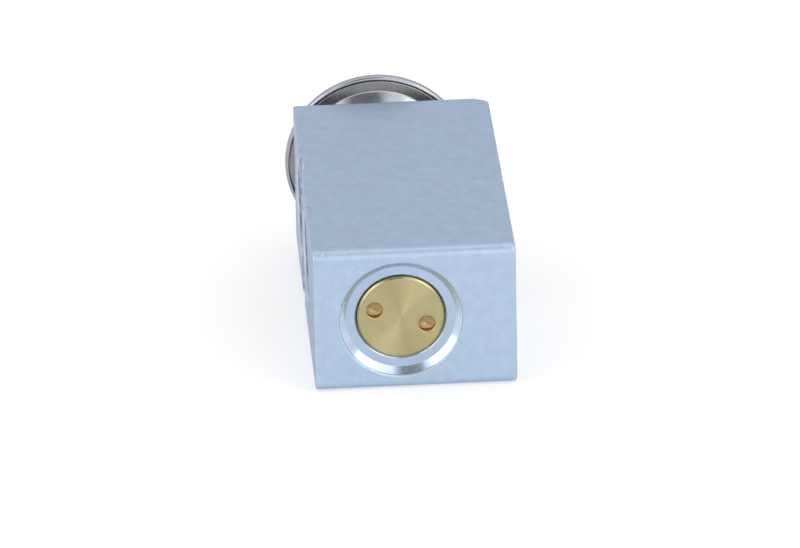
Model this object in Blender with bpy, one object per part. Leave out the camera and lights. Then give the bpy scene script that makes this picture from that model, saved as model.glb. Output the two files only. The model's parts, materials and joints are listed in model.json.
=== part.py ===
"""Block-type thermal expansion valve for a vehicle air conditioner.

The valve lies on its side, as it is photographed: the valve axis runs along +Y from the brass
adjusting screw to the pressure head, the port faces look along -X and +X, and the plain faces
look up and down. All sizes below are in millimetres and are turned into metres where the
meshes are made. A radius is measured from the axis of its own bore, and an axial place is
measured from the block's screw end, unless its comment says otherwise.
"""

from math import cos, pi, radians, sin, sqrt, tau

import bmesh
import bpy
from mathutils import Vector

MM = 0.001

# Block
BLOCK_WIDTH = 38.0
BLOCK_HEIGHT = 28.6
AXIS_FROM_LEFT = 16.3
PROFILE_ROUND = 1.5
LEFT_EDGE_BREAK = 0.35
RIGHT_EDGE_BREAK = 0.6
CORNER_CUT_WIDTH = 3.2
CORNER_CUT_LENGTH = 2.5

# Clearances
SEAT_GAP = 0.3
RUN_GAP = 0.3
SEAL_GAP = 0.2
SHEET_GAP = 0.15

# Adjusting screw and its bore
RECESS_RIM_RADIUS = 11.6
RECESS_RIM_CHAMFER = 0.4
RECESS_FLOOR_RADIUS = 10.6
RECESS_DEPTH = 1.5
BORE_LEAD_IN = 0.25
SCREW_THREAD_RADIUS = 8.0
SCREW_THREAD_LENGTH = 6.45
SCREW_PITCH = 1.0
SCREW_TURNS_IN = 1.5
SCREW_TURNS_OUT = 0.5
SCREW_PROUD = 0.3
SCREW_BEVEL = 0.35
SCREW_FACE_WEB = 5.25
SCREW_LAND_STEP = 0.8
SCREW_LAND_WIDTH = 1.2
GROOVE_WIDTH = 2.2
GROOVE_DEPTH = 1.45
SCREW_CUP_WALL = 1.0
SPANNER_HOLE_RADIUS = 1.65
SPANNER_HOLE_DEPTH = 1.5
SPANNER_HOLE_PLACE = 5.15
SPANNER_HOLE_ANGLE = -18.0

# Ball chamber, seat and ball
CHAMBER_STEP = 1.2
SEAT_RING_RADIUS = 3.7
SEAT_RING_THICKNESS = 1.4
SEAT_STEP = 0.1
ORIFICE_RADIUS = 1.7
SEAT_CONE_DEPTH = 0.8
WEB_HOLE_RADIUS = 2.1
BALL_RADIUS = 2.5
BALL_CLOSED_GAP = 0.1
STROKE = 0.7

# Coil spring, ball support and vibration spring
SPRING_WIRE_RADIUS = 0.6
SPRING_SIDE_GAP = 0.4
SPRING_TURNS = 5.5
SPRING_END_PITCH = 1.3
SUPPORT_LIP = 0.55
SUPPORT_FLANGE_THICKNESS = 1.2
SUPPORT_NECK_HEIGHT = 1.0
SUPPORT_SPIGOT_GAP = 0.45
SUPPORT_SPIGOT_LENGTH = 2.3
SUPPORT_SPIGOT_BEVEL = 0.4
CONE_GAP = 0.1
LEAF_SEAT_WIDTH = 1.5
LEAF_THICKNESS = 0.25
LEAF_LEGS = 4
LEAF_LEG_GAP = 0.65
LEAF_LEG_LENGTH = 2.9

# Ports, their counterbores, and the walls between the passages along the valve axis
INLET_BORE_RADIUS = 3.5
INLET_COUNTERBORE_RADIUS = 6.8
INLET_COUNTERBORE_DEPTH = 6.0
INLET_LEDGE = 0.4
INLET_HEADROOM = 0.3
OUTLET_BORE_RADIUS = 4.2
OUTLET_COUNTERBORE_RADIUS = 8.4
OUTLET_COUNTERBORE_DEPTH = 5.5
OUTLET_WEB = 1.45
ROD_HOLE_LENGTH = 4.0
GUIDE_LENGTH = 1.8
SUCTION_BORE_RADIUS = 8.0
SUCTION_COUNTERBORE_RADIUS = 9.0
SUCTION_COUNTERBORE_DEPTH = 5.0
SOCKET_WEB = 1.2
PORT_CHAMFER = 0.3
DRILL_POINT = 0.6
DRILL_PAST_AXIS = 0.45

# Fastening holes
BOLTS_TO_SUCTION = 11.0
BOLT_HOLE_EDGE = 4.4
BOLT_HOLE_RADIUS = 3.3
SPOT_FACE_RADIUS = 5.1
SPOT_FACE_DEPTH = 0.5
STUD_TO_BOLTS = 5.6
STUD_HOLE_RADIUS = 3.4
STUD_HOLE_DEPTH = 13.0

# Rods and their seal
OPERATING_ROD_RADIUS = 1.1
OPERATING_ROD_BEVEL = 0.2
SENSING_ROD_RADIUS = 2.6
SENSING_ROD_WAIST = 0.7
SENSING_ROD_BEVEL = 0.3
SLEEVE_WALL = 1.15
SLEEVE_END_GAP = 1.6
SLEEVE_SLIT_ANGLE = 36.0
BACKUP_RING_THICKNESS = 0.9
ROD_SEAL_SECTION = 1.0
PUSH_NUT_THICKNESS = 0.4
PUSH_NUT_TEETH = 8
PUSH_NUT_NOTCH = 0.7
PUSH_NUT_DISH = 0.25
SEAL_POCKET_SPARE = 0.55
VAPOUR_GAP = 1.8

# Pressure head
SOCKET_RADIUS = 9.3
SOCKET_DEPTH = 8.3
HEAD_SEAL_SECTION = 0.9
NECK_WALL = 2.1
NECK_CHAMFER = 0.4
COVER_THICKNESS = 1.0
COVER_BEND = 0.3
SHOULDER_RUN = 2.4
SHOULDER_RISE = 2.0
SHOULDER_STEP = 0.35
LOWER_FLANGE_STEP = 0.5
LOWER_FLANGE_RISE = 0.1
LOWER_FLANGE_THICKNESS = 0.6
CLAMP_WIDTH = 2.6
RIM_WALL = 0.7
RIM_ROUND = 0.75
RIM_LIP_ANGLE = 80.0
DIAPHRAGM_THICKNESS = 0.18
DIAPHRAGM_WAVE = 0.18
DIAPHRAGM_WAVES = 2
UPPER_FLANGE_THICKNESS = 0.62
UPPER_FLANGE_STEP = 1.0
UPPER_SHEET = 0.8
SKIRT_WIDTH = 4.6
SKIRT_ANGLE = 35.0
SKIRT_FOOT_ROUND = 1.2
DOME_ROUND = 2.0
DOME_RISE = 3.2
DIMPLE_RADIUS = 3.0
DIMPLE_DEPTH = 0.5
FILL_HOLE_RADIUS = 1.2
PLUG_HEAD_RADIUS = 2.1
PLUG_HEAD_HEIGHT = 1.3
PLUG_HEAD_EDGE = 0.4
STOPPER_FLANGE_RADIUS = 11.2
STOPPER_FLANGE_THICKNESS = 0.7
STOPPER_SIDE_GAP = 0.8
STOPPER_STEM_LENGTH = 7.5
STOPPER_STEM_GAP = 0.4
STOPPER_BEVEL = 0.2
ROD_SOCKET_DEPTH = 4.0

# Facets round a full turn
HEAD_SEGMENTS = 36
SEGMENTS = 32
SMALL_SEGMENTS = 20
RING_SECTION_SEGMENTS = 8

# Radii and widths that follow from the sizes above
RIGHT_FACE = BLOCK_WIDTH - AXIS_FROM_LEFT
LEFT_FACE = AXIS_FROM_LEFT
BOLT_HOLE_OFFSET = BLOCK_HEIGHT / 2 - BOLT_HOLE_EDGE
SCREW_BORE_RADIUS = SCREW_THREAD_RADIUS + SEAT_GAP
SCREW_LAND_RADIUS = SCREW_THREAD_RADIUS - SCREW_LAND_STEP
SEAL_BORE_RADIUS = SCREW_LAND_RADIUS + SEAT_GAP
GROOVE_RADIUS = SCREW_LAND_RADIUS - GROOVE_DEPTH
SCREW_CUP_RADIUS = GROOVE_RADIUS - SCREW_CUP_WALL
SPRING_MEAN_RADIUS = SCREW_CUP_RADIUS - SPRING_SIDE_GAP - SPRING_WIRE_RADIUS
SUPPORT_FLANGE_RADIUS = SPRING_MEAN_RADIUS + SPRING_WIRE_RADIUS + SUPPORT_LIP
SUPPORT_NOSE_RADIUS = SUPPORT_FLANGE_RADIUS - LEAF_SEAT_WIDTH
SUPPORT_SPIGOT_RADIUS = SPRING_MEAN_RADIUS - SPRING_WIRE_RADIUS - SUPPORT_SPIGOT_GAP
CHAMBER_RADIUS = SEAL_BORE_RADIUS - CHAMBER_STEP
LEAF_LEG_RADIUS = CHAMBER_RADIUS - LEAF_LEG_GAP
BALL_CONTACT_RADIUS = BALL_RADIUS * sin(radians(45))
SEAL_POCKET_RADIUS = SENSING_ROD_RADIUS + 2 * (SEAL_GAP + ROD_SEAL_SECTION)
SENSING_HOLE_RADIUS = SENSING_ROD_RADIUS + VAPOUR_GAP
WAIST_RADIUS = SENSING_ROD_RADIUS - SENSING_ROD_WAIST
SLEEVE_BORE_RADIUS = WAIST_RADIUS + SHEET_GAP
SLEEVE_RADIUS = SLEEVE_BORE_RADIUS + SLEEVE_WALL
NECK_RADIUS = SOCKET_RADIUS - SEAT_GAP
NECK_BORE_RADIUS = NECK_RADIUS - NECK_WALL
MOUTH_RADIUS = NECK_RADIUS + 2 * (SEAT_GAP + HEAD_SEAL_SECTION)
STOPPER_STEM_RADIUS = NECK_BORE_RADIUS - STOPPER_STEM_GAP
COVER_SEAT_RADIUS = STOPPER_FLANGE_RADIUS + STOPPER_SIDE_GAP
SHOULDER_RADIUS = COVER_SEAT_RADIUS + SHOULDER_RUN
SHOULDER_WALL = sqrt(SHOULDER_RUN**2 + SHOULDER_RISE**2)
SHOULDER_INSET = COVER_THICKNESS * SHOULDER_RISE / SHOULDER_WALL
SHOULDER_INNER_RADIUS = SHOULDER_RADIUS - SHOULDER_INSET
LOWER_FLANGE_INNER_RADIUS = SHOULDER_RADIUS + LOWER_FLANGE_STEP
UPPER_FLANGE_INNER_RADIUS = SHOULDER_RADIUS + UPPER_FLANGE_STEP
FLANGE_RADIUS = SHOULDER_RADIUS + CLAMP_WIDTH
RIM_BORE_RADIUS = FLANGE_RADIUS + SEAT_GAP
RIM_RADIUS = RIM_BORE_RADIUS + RIM_WALL
DOME_RADIUS = UPPER_FLANGE_INNER_RADIUS - SKIRT_WIDTH

# Places along the valve axis, chained from the screw end to the head
TRAVEL_IN = SCREW_PITCH * SCREW_TURNS_IN
TRAVEL_OUT = SCREW_PITCH * SCREW_TURNS_OUT
SCREW_FACE = RECESS_DEPTH - SCREW_PROUD
THREAD_END = SCREW_FACE + SCREW_THREAD_LENGTH
SCREW_BORE_END = THREAD_END + TRAVEL_IN + SEAT_GAP
GROOVE_START = SCREW_BORE_END + TRAVEL_OUT - SEAT_GAP
GROOVE_CENTRE = GROOVE_START + GROOVE_WIDTH / 2
GROOVE_END = GROOVE_START + GROOVE_WIDTH
SCREW_END = GROOVE_END + SCREW_LAND_WIDTH
SEAL_BORE_END = SCREW_END + TRAVEL_IN + SEAT_GAP
INLET_PLACE = SEAL_BORE_END + INLET_LEDGE + INLET_BORE_RADIUS
CHAMBER_END = INLET_PLACE + INLET_BORE_RADIUS + INLET_HEADROOM
SEAT_FACE = CHAMBER_END + SEAT_STEP
SEAT_POCKET_END = SEAT_FACE + SEAT_RING_THICKNESS + SEAT_GAP
OUTLET_PLACE = SEAT_POCKET_END + OUTLET_WEB + OUTLET_BORE_RADIUS
GUIDE_FLOOR = OUTLET_PLACE + OUTLET_BORE_RADIUS + ROD_HOLE_LENGTH
SEAL_POCKET_FLOOR = GUIDE_FLOOR + GUIDE_LENGTH
BACKUP_RING_FOOT = SEAL_POCKET_FLOOR + SHEET_GAP
ROD_SEAL_PLACE = BACKUP_RING_FOOT + BACKUP_RING_THICKNESS + SHEET_GAP + ROD_SEAL_SECTION
PUSH_NUT_FOOT = ROD_SEAL_PLACE + ROD_SEAL_SECTION + SEAL_GAP
SUCTION_FLOOR = PUSH_NUT_FOOT + PUSH_NUT_THICKNESS + PUSH_NUT_DISH + SEAL_POCKET_SPARE
SUCTION_PLACE = SUCTION_FLOOR + SUCTION_BORE_RADIUS
SUCTION_TOP = SUCTION_PLACE + SUCTION_BORE_RADIUS
BOLT_HOLE_PLACE = SUCTION_PLACE - BOLTS_TO_SUCTION
STUD_HOLE_PLACE = BOLT_HOLE_PLACE - STUD_TO_BOLTS
SOCKET_FLOOR = SUCTION_TOP + SOCKET_WEB
BLOCK_LENGTH = SOCKET_FLOOR + SOCKET_DEPTH

# Ball, support and spring, placed from the seat down to the screw
BALL_CLOSED = SEAT_FACE + SEAT_CONE_DEPTH + ORIFICE_RADIUS - 2 * BALL_CONTACT_RADIUS
BALL_PLACE = BALL_CLOSED - BALL_CLOSED_GAP - STROKE
SUPPORT_CONE_APEX = BALL_PLACE - 2 * BALL_CONTACT_RADIUS - CONE_GAP * sqrt(2)
SUPPORT_TOP = SUPPORT_CONE_APEX + SUPPORT_NOSE_RADIUS - SEAT_GAP
SUPPORT_FLANGE_TOP = SUPPORT_CONE_APEX + SUPPORT_NECK_HEIGHT
SUPPORT_FLANGE_FOOT = SUPPORT_FLANGE_TOP - SUPPORT_FLANGE_THICKNESS
SPRING_FOOT = SCREW_FACE + SCREW_FACE_WEB + SHEET_GAP
SPRING_TOP = SUPPORT_FLANGE_FOOT - SHEET_GAP

# Head, stopper and rods, placed from the block's head end
COVER_SEAT = BLOCK_LENGTH + SEAT_GAP
COVER_FLOOR = COVER_SEAT + COVER_THICKNESS
HEAD_SEAL_PLACE = COVER_SEAT - SHEET_GAP - HEAD_SEAL_SECTION
MOUTH_FLOOR = HEAD_SEAL_PLACE - HEAD_SEAL_SECTION - SEAL_GAP
SHOULDER_TOP = COVER_SEAT + SHOULDER_RISE
RIM_FOOT = SHOULDER_TOP + SHOULDER_STEP
LOWER_FLANGE_FOOT = RIM_FOOT + LOWER_FLANGE_RISE
LOWER_FLANGE_TOP = LOWER_FLANGE_FOOT + LOWER_FLANGE_THICKNESS
DIAPHRAGM_PLACE = LOWER_FLANGE_TOP + SHEET_GAP
UPPER_FLANGE_FOOT = DIAPHRAGM_PLACE + DIAPHRAGM_THICKNESS + SHEET_GAP
UPPER_FLANGE_TOP = UPPER_FLANGE_FOOT + UPPER_FLANGE_THICKNESS
DOME_TOP = UPPER_FLANGE_TOP + DOME_RISE
DIMPLE_FLOOR = DOME_TOP - DIMPLE_DEPTH
PLUG_HEAD_FOOT = DIMPLE_FLOOR + SHEET_GAP
OVERALL_LENGTH = PLUG_HEAD_FOOT + PLUG_HEAD_HEIGHT
STOPPER_FOOT = COVER_FLOOR + SEAT_GAP
STOPPER_TOP = STOPPER_FOOT + STOPPER_FLANGE_THICKNESS
STOPPER_STEM_END = STOPPER_FOOT - STOPPER_STEM_LENGTH
SENSING_ROD_FOOT = GUIDE_FLOOR + SEAT_GAP
SENSING_ROD_TOP = STOPPER_STEM_END + ROD_SOCKET_DEPTH - SEAT_GAP
OPERATING_ROD_FOOT = BALL_PLACE + BALL_RADIUS + SHEET_GAP
OPERATING_ROD_TOP = SENSING_ROD_FOOT - SHEET_GAP

# Where the valve axis crosses the screw end, seen from the middle of the footprint
AXIS_X = (max(LEFT_FACE, RIM_RADIUS) - max(RIGHT_FACE, RIM_RADIUS)) / 2
AXIS_Y = -OVERALL_LENGTH / 2
AXIS_Z = max(RIM_RADIUS, BLOCK_HEIGHT / 2)


def clear_scene():
    """Removes every object, so that the model starts from an empty scene."""
    for existing in list(bpy.data.objects):
        bpy.data.objects.remove(existing)


def linear(channel):
    """Turns one 0 to 255 display value into Blender's linear scale."""
    share = channel / 255
    return share / 12.92 if share <= 0.04045 else ((share + 0.055) / 1.055) ** 2.4


def finish(name, colour, roughness, metallic):
    """Makes one Principled material from a display colour of three 0 to 255 values."""
    material = bpy.data.materials.new(name)
    material.use_nodes = True
    shader = material.node_tree.nodes["Principled BSDF"]
    rgb = [linear(channel) for channel in colour]
    shader.inputs["Base Color"].default_value = (*rgb, 1.0)
    shader.inputs["Roughness"].default_value = roughness
    shader.inputs["Metallic"].default_value = metallic
    material.diffuse_color = (*rgb, 1.0)
    return material


def arc(centre, radius, start, end, steps):
    """Points of an arc in the (radius, axial) plane, from start to end in degrees."""
    turns = [radians(start + (end - start) * i / steps) for i in range(steps + 1)]
    return [(centre[0] + radius * cos(t), centre[1] + radius * sin(t)) for t in turns]


def new_object(name, bm, material, place, parent):
    """Wraps a finished bmesh as a named object at an axial place under its parent empty."""
    bmesh.ops.recalc_face_normals(bm, faces=bm.faces)
    mesh = bpy.data.meshes.new(name)
    bm.to_mesh(mesh)
    bm.free()
    mesh.shade_smooth()
    mesh.set_sharp_from_angle(angle=radians(32))
    if material is not None:
        mesh.materials.append(material)
    made = bpy.data.objects.new(name, mesh)
    bpy.context.scene.collection.objects.link(made)
    made.location = Vector((0, place, 0)) * MM
    made.parent = parent
    return made


def turned_mesh(outline, segments):
    """Spins a closed (radius, axial) outline about Y. A point on the axis becomes one vertex."""
    bm = bmesh.new()
    points = [bm.verts.new(Vector((radius, along, 0)) * MM) for radius, along in outline]
    closed = all(radius > 0 for radius, _ in outline)
    pairs = list(zip(points, points[1:]))
    if closed:
        pairs.append((points[-1], points[0]))
    edges = [bm.edges.new(pair) for pair in pairs]
    bmesh.ops.spin(
        bm,
        geom=points + edges,
        cent=(0, 0, 0),
        axis=(0, 1, 0),
        dvec=(0, 0, 0),
        angle=tau,
        steps=segments,
        use_merge=True,
    )
    bmesh.ops.remove_doubles(bm, verts=bm.verts, dist=1e-7)
    return bm


def turned(name, outline, material, parent, segments=SEGMENTS, place=0.0):
    """A turned piece. Its outline is given in axial places, and its origin is put at place."""
    local = [(radius, along - place) for radius, along in outline]
    return new_object(name, turned_mesh(local, segments), material, place, parent)


def cutter(name, bm, parent, location=(0, 0, 0), turn=0.0, facets=0):
    """A hidden cutting body, turned about Z by turn degrees.

    Where facets is given, it is first rolled about its own axis by half a facet, so that none of
    its corner lines meets one of the bore that it crosses.
    """
    made = new_object(name, bm, None, 0, parent)
    made.location = Vector(location) * MM
    made.rotation_euler = (0, pi / facets if facets else 0, radians(turn))
    made.hide_render = True
    made.display_type = "WIRE"
    return made


def subtract(target, tools):
    """Cuts each tool out of the target with one Boolean modifier."""
    for tool in tools:
        modifier = target.modifiers.new(tool.name, "BOOLEAN")
        modifier.operation = "DIFFERENCE"
        modifier.solver = "EXACT"
        modifier.object = tool


def ring_outline(mean_radius, section_radius, place):
    """The closed outline of a round-section ring."""
    return arc((mean_radius, place), section_radius, 0, 360, RING_SECTION_SEGMENTS)[:-1]


def rounded_block(parent, material):
    """The extruded bar cut to length: round edges along X, and lightly broken port-face edges."""
    bm = bmesh.new()
    bmesh.ops.create_cube(bm, size=1.0)
    size = Vector((BLOCK_WIDTH, BLOCK_LENGTH, BLOCK_HEIGHT)) * MM
    middle = Vector((RIGHT_FACE - LEFT_FACE, BLOCK_LENGTH, 0)) / 2 * MM
    for corner in bm.verts:
        corner.co = Vector(c * s for c, s in zip(corner.co, size)) + middle
    along_width = [e for e in bm.edges if abs(e.verts[0].co.x - e.verts[1].co.x) > MM]
    bmesh.ops.bevel(
        bm,
        geom=along_width,
        offset=PROFILE_ROUND * MM,
        offset_type="OFFSET",
        segments=5,
        profile=0.5,
        affect="EDGES",
    )
    for face_x, break_width in ((-LEFT_FACE, LEFT_EDGE_BREAK), (RIGHT_FACE, RIGHT_EDGE_BREAK)):
        rim = [
            e for e in bm.edges if all(abs(v.co.x - face_x * MM) < 0.01 * MM for v in e.verts)
        ]
        bmesh.ops.bevel(
            bm,
            geom=rim,
            offset=break_width * MM,
            offset_type="OFFSET",
            segments=2,
            profile=0.5,
            affect="EDGES",
        )
    block = new_object("valve_block", bm, material, 0, parent)
    for polygon in block.data.polygons:
        polygon.use_smooth = max(abs(part) for part in polygon.normal) < 0.999
    return block


def axial_bore(parent):
    """The stepped bore along the whole valve axis, from the screw recess to the head's mouth."""
    past = 1.0
    seat_pocket_radius = SEAT_RING_RADIUS + SEAT_GAP
    rod_hole_radius = OPERATING_ROD_RADIUS + RUN_GAP
    guide_radius = SENSING_ROD_RADIUS + RUN_GAP
    outline = [
        (0, -past),
        (RECESS_RIM_RADIUS + past, -past),
        (RECESS_RIM_RADIUS - RECESS_RIM_CHAMFER, RECESS_RIM_CHAMFER),
        (RECESS_FLOOR_RADIUS, RECESS_DEPTH),
        (SCREW_BORE_RADIUS + BORE_LEAD_IN, RECESS_DEPTH),
        (SCREW_BORE_RADIUS, RECESS_DEPTH + BORE_LEAD_IN),
        (SCREW_BORE_RADIUS, SCREW_BORE_END - BORE_LEAD_IN),
        (SEAL_BORE_RADIUS, SCREW_BORE_END),
        (SEAL_BORE_RADIUS, SEAL_BORE_END),
        (CHAMBER_RADIUS, SEAL_BORE_END),
        (CHAMBER_RADIUS, CHAMBER_END),
        (seat_pocket_radius, CHAMBER_END),
        (seat_pocket_radius, SEAT_POCKET_END),
        (WEB_HOLE_RADIUS, SEAT_POCKET_END),
        (WEB_HOLE_RADIUS, OUTLET_PLACE),
        (rod_hole_radius, OUTLET_PLACE),
        (rod_hole_radius, GUIDE_FLOOR),
        (guide_radius, GUIDE_FLOOR),
        (guide_radius, SEAL_POCKET_FLOOR),
        (SEAL_POCKET_RADIUS, SEAL_POCKET_FLOOR),
        (SEAL_POCKET_RADIUS, SUCTION_PLACE),
        (SENSING_HOLE_RADIUS, SUCTION_PLACE),
        (SENSING_HOLE_RADIUS, SOCKET_FLOOR),
        (SOCKET_RADIUS, SOCKET_FLOOR),
        (SOCKET_RADIUS, MOUTH_FLOOR),
        (MOUTH_RADIUS, MOUTH_FLOOR),
        (MOUTH_RADIUS, BLOCK_LENGTH + past),
        (0, BLOCK_LENGTH + past),
    ]
    return cutter("cut_axial_bore", turned_mesh(outline, SEGMENTS), parent)


def port_outline(bore, counterbore, depth, face):
    """Half section of a drilled port with a counterbore, measured outwards from the valve axis."""
    past = 1.0
    return [
        (0, -bore * DRILL_POINT - DRILL_PAST_AXIS),
        (bore, -DRILL_PAST_AXIS),
        (bore, face - depth),
        (counterbore, face - depth),
        (counterbore, face - PORT_CHAMFER),
        (counterbore + PORT_CHAMFER + past, face + past),
        (0, face + past),
    ]


def side_ports(parent):
    """Inlet from the right face, outlet to the left face, and the suction passage through both."""
    inlet = port_outline(
        INLET_BORE_RADIUS, INLET_COUNTERBORE_RADIUS, INLET_COUNTERBORE_DEPTH, RIGHT_FACE
    )
    outlet = port_outline(
        OUTLET_BORE_RADIUS, OUTLET_COUNTERBORE_RADIUS, OUTLET_COUNTERBORE_DEPTH, LEFT_FACE
    )
    suction_half = port_outline(
        SUCTION_BORE_RADIUS, SUCTION_COUNTERBORE_RADIUS, SUCTION_COUNTERBORE_DEPTH, RIGHT_FACE
    )[2:]
    suction_left = port_outline(
        SUCTION_BORE_RADIUS, SUCTION_COUNTERBORE_RADIUS, SUCTION_COUNTERBORE_DEPTH, LEFT_FACE
    )[2:]
    suction = [(radius, -along) for radius, along in reversed(suction_left)] + suction_half
    ports = (
        ("cut_inlet", inlet, INLET_PLACE, -90),
        ("cut_outlet", outlet, OUTLET_PLACE, 90),
        ("cut_suction", suction, SUCTION_PLACE, -90),
    )
    return [
        cutter(name, turned_mesh(outline, SEGMENTS), parent, (0, place, 0), turn, SEGMENTS)
        for name, outline, place, turn in ports
    ]


def fastening_holes(parent):
    """Two through holes with a spot face on the left, and a blind stud hole on the right."""
    past = 1.0
    bolt = [
        (0, -LEFT_FACE - past),
        (SPOT_FACE_RADIUS, -LEFT_FACE - past),
        (SPOT_FACE_RADIUS, SPOT_FACE_DEPTH - LEFT_FACE),
        (BOLT_HOLE_RADIUS, SPOT_FACE_DEPTH - LEFT_FACE),
        (BOLT_HOLE_RADIUS, RIGHT_FACE - PORT_CHAMFER),
        (BOLT_HOLE_RADIUS + PORT_CHAMFER + past, RIGHT_FACE + past),
        (0, RIGHT_FACE + past),
    ]
    stud = [
        (0, RIGHT_FACE - STUD_HOLE_DEPTH - STUD_HOLE_RADIUS * DRILL_POINT),
        (STUD_HOLE_RADIUS, RIGHT_FACE - STUD_HOLE_DEPTH),
        (STUD_HOLE_RADIUS, RIGHT_FACE - PORT_CHAMFER),
        (STUD_HOLE_RADIUS + PORT_CHAMFER + past, RIGHT_FACE + past),
        (0, RIGHT_FACE + past),
    ]
    holes = [
        cutter(
            f"cut_bolt_hole_{side}",
            turned_mesh(bolt, SMALL_SEGMENTS),
            parent,
            (0, BOLT_HOLE_PLACE, sign * BOLT_HOLE_OFFSET),
            -90,
        )
        for side, sign in (("upper", 1), ("lower", -1))
    ]
    holes.append(
        cutter(
            "cut_stud_hole",
            turned_mesh(stud, SMALL_SEGMENTS),
            parent,
            (0, STUD_HOLE_PLACE, 0),
            -90,
        )
    )
    return holes


def corner_cut(parent):
    """A three-sided bar that takes off the block's edge between the right face and the head end."""
    past = 1.0
    slope = CORNER_CUT_LENGTH / CORNER_CUT_WIDTH
    start_x = RIGHT_FACE - CORNER_CUT_WIDTH - past
    end_x = RIGHT_FACE + past
    corners = [
        (start_x, BLOCK_LENGTH + slope * past),
        (end_x, BLOCK_LENGTH - CORNER_CUT_LENGTH - slope * past),
        (end_x, BLOCK_LENGTH + slope * past),
    ]
    bm = bmesh.new()
    foot = BLOCK_HEIGHT / 2 + past
    base = bm.faces.new([bm.verts.new(Vector((x, y, -foot)) * MM) for x, y in corners])
    grown = bmesh.ops.extrude_face_region(bm, geom=[base])
    risen = [item for item in grown["geom"] if isinstance(item, bmesh.types.BMVert)]
    bmesh.ops.translate(bm, verts=risen, vec=Vector((0, 0, 2 * foot)) * MM)
    return cutter("cut_corner", bm, parent)


def make_block(parent, material):
    """The aluminium block with every passage and hole cut into it."""
    block = rounded_block(parent, material)
    tools = [axial_bore(parent), *side_ports(parent), *fastening_holes(parent)]
    subtract(block, [*tools, corner_cut(parent)])


def make_adjusting_screw(parent, material):
    """Brass screw: bevelled face, thread, O-ring groove, spring cup and two spanner holes."""
    outline = [
        (0, SCREW_FACE),
        (SCREW_THREAD_RADIUS - SCREW_BEVEL, SCREW_FACE),
        (SCREW_THREAD_RADIUS, SCREW_FACE + SCREW_BEVEL),
        (SCREW_THREAD_RADIUS, THREAD_END - SCREW_BEVEL),
        (SCREW_LAND_RADIUS, THREAD_END),
        (SCREW_LAND_RADIUS, GROOVE_START),
        (GROOVE_RADIUS, GROOVE_START),
        (GROOVE_RADIUS, GROOVE_END),
        (SCREW_LAND_RADIUS, GROOVE_END),
        (SCREW_LAND_RADIUS, SCREW_END - SCREW_BEVEL),
        (SCREW_LAND_RADIUS - SCREW_BEVEL, SCREW_END),
        (SCREW_CUP_RADIUS + SCREW_BEVEL, SCREW_END),
        (SCREW_CUP_RADIUS, SCREW_END - SCREW_BEVEL),
        (SCREW_CUP_RADIUS, SCREW_FACE + SCREW_FACE_WEB),
        (0, SCREW_FACE + SCREW_FACE_WEB),
    ]
    screw = turned("adjusting_screw", outline, material, parent, SEGMENTS, SCREW_FACE)
    past = 1.0
    hole = [
        (0, -past),
        (SPANNER_HOLE_RADIUS, -past),
        (SPANNER_HOLE_RADIUS, SPANNER_HOLE_DEPTH),
        (0, SPANNER_HOLE_DEPTH + SPANNER_HOLE_RADIUS * DRILL_POINT),
    ]
    turn = radians(SPANNER_HOLE_ANGLE)
    tools = []
    for side, sign in (("right", 1), ("left", -1)):
        x = sign * SPANNER_HOLE_PLACE * cos(turn)
        z = sign * SPANNER_HOLE_PLACE * sin(turn)
        name = f"cut_spanner_hole_{side}"
        tools.append(cutter(name, turned_mesh(hole, SMALL_SEGMENTS), parent, (x, SCREW_FACE, z)))
    subtract(screw, tools)


def make_adjusting_screw_oring(parent, material):
    """The O-ring between the screw's groove and the seal bore."""
    inner = GROOVE_RADIUS + SEAL_GAP
    outer = SEAL_BORE_RADIUS - SEAL_GAP
    outline = ring_outline((inner + outer) / 2, (outer - inner) / 2, GROOVE_CENTRE)
    turned("adjusting_screw_oring", outline, material, parent, SEGMENTS, GROOVE_CENTRE)


def spring_height(turn, length):
    """Rise of the coil's centreline after a number of turns, with one closed turn at each end."""
    wire = 2 * SPRING_WIRE_RADIUS
    rise = length - wire
    pitch = (rise - 2 * SPRING_END_PITCH) / (SPRING_TURNS - 2)
    if turn <= 1:
        return SPRING_END_PITCH * turn
    if turn <= SPRING_TURNS - 1:
        return SPRING_END_PITCH + pitch * (turn - 1)
    return rise - SPRING_END_PITCH * (SPRING_TURNS - turn)


def make_valve_spring(parent, material):
    """Compression coil spring between the screw's cup and the ball support."""
    per_turn = 14
    sides = 6
    steps = round(SPRING_TURNS * per_turn)
    length = SPRING_TOP - SPRING_FOOT
    bm = bmesh.new()
    rings = []
    for step in range(steps + 1):
        turn = step / per_turn
        angle = tau * turn
        out = Vector((cos(angle), 0, sin(angle)))
        centre = out * SPRING_MEAN_RADIUS
        centre.y = SPRING_WIRE_RADIUS + spring_height(turn, length)
        ring = []
        for side in range(sides):
            around = tau * side / sides
            offset = out * cos(around) + Vector((0, 1, 0)) * sin(around)
            ring.append(bm.verts.new((centre + offset * SPRING_WIRE_RADIUS) * MM))
        rings.append(ring)
    for lower, upper in zip(rings, rings[1:]):
        for side in range(sides):
            after = (side + 1) % sides
            bm.faces.new((lower[side], lower[after], upper[after], upper[side]))
    bm.faces.new(list(reversed(rings[0])))
    bm.faces.new(rings[-1])
    new_object("valve_spring", bm, material, SPRING_FOOT, parent)


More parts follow.
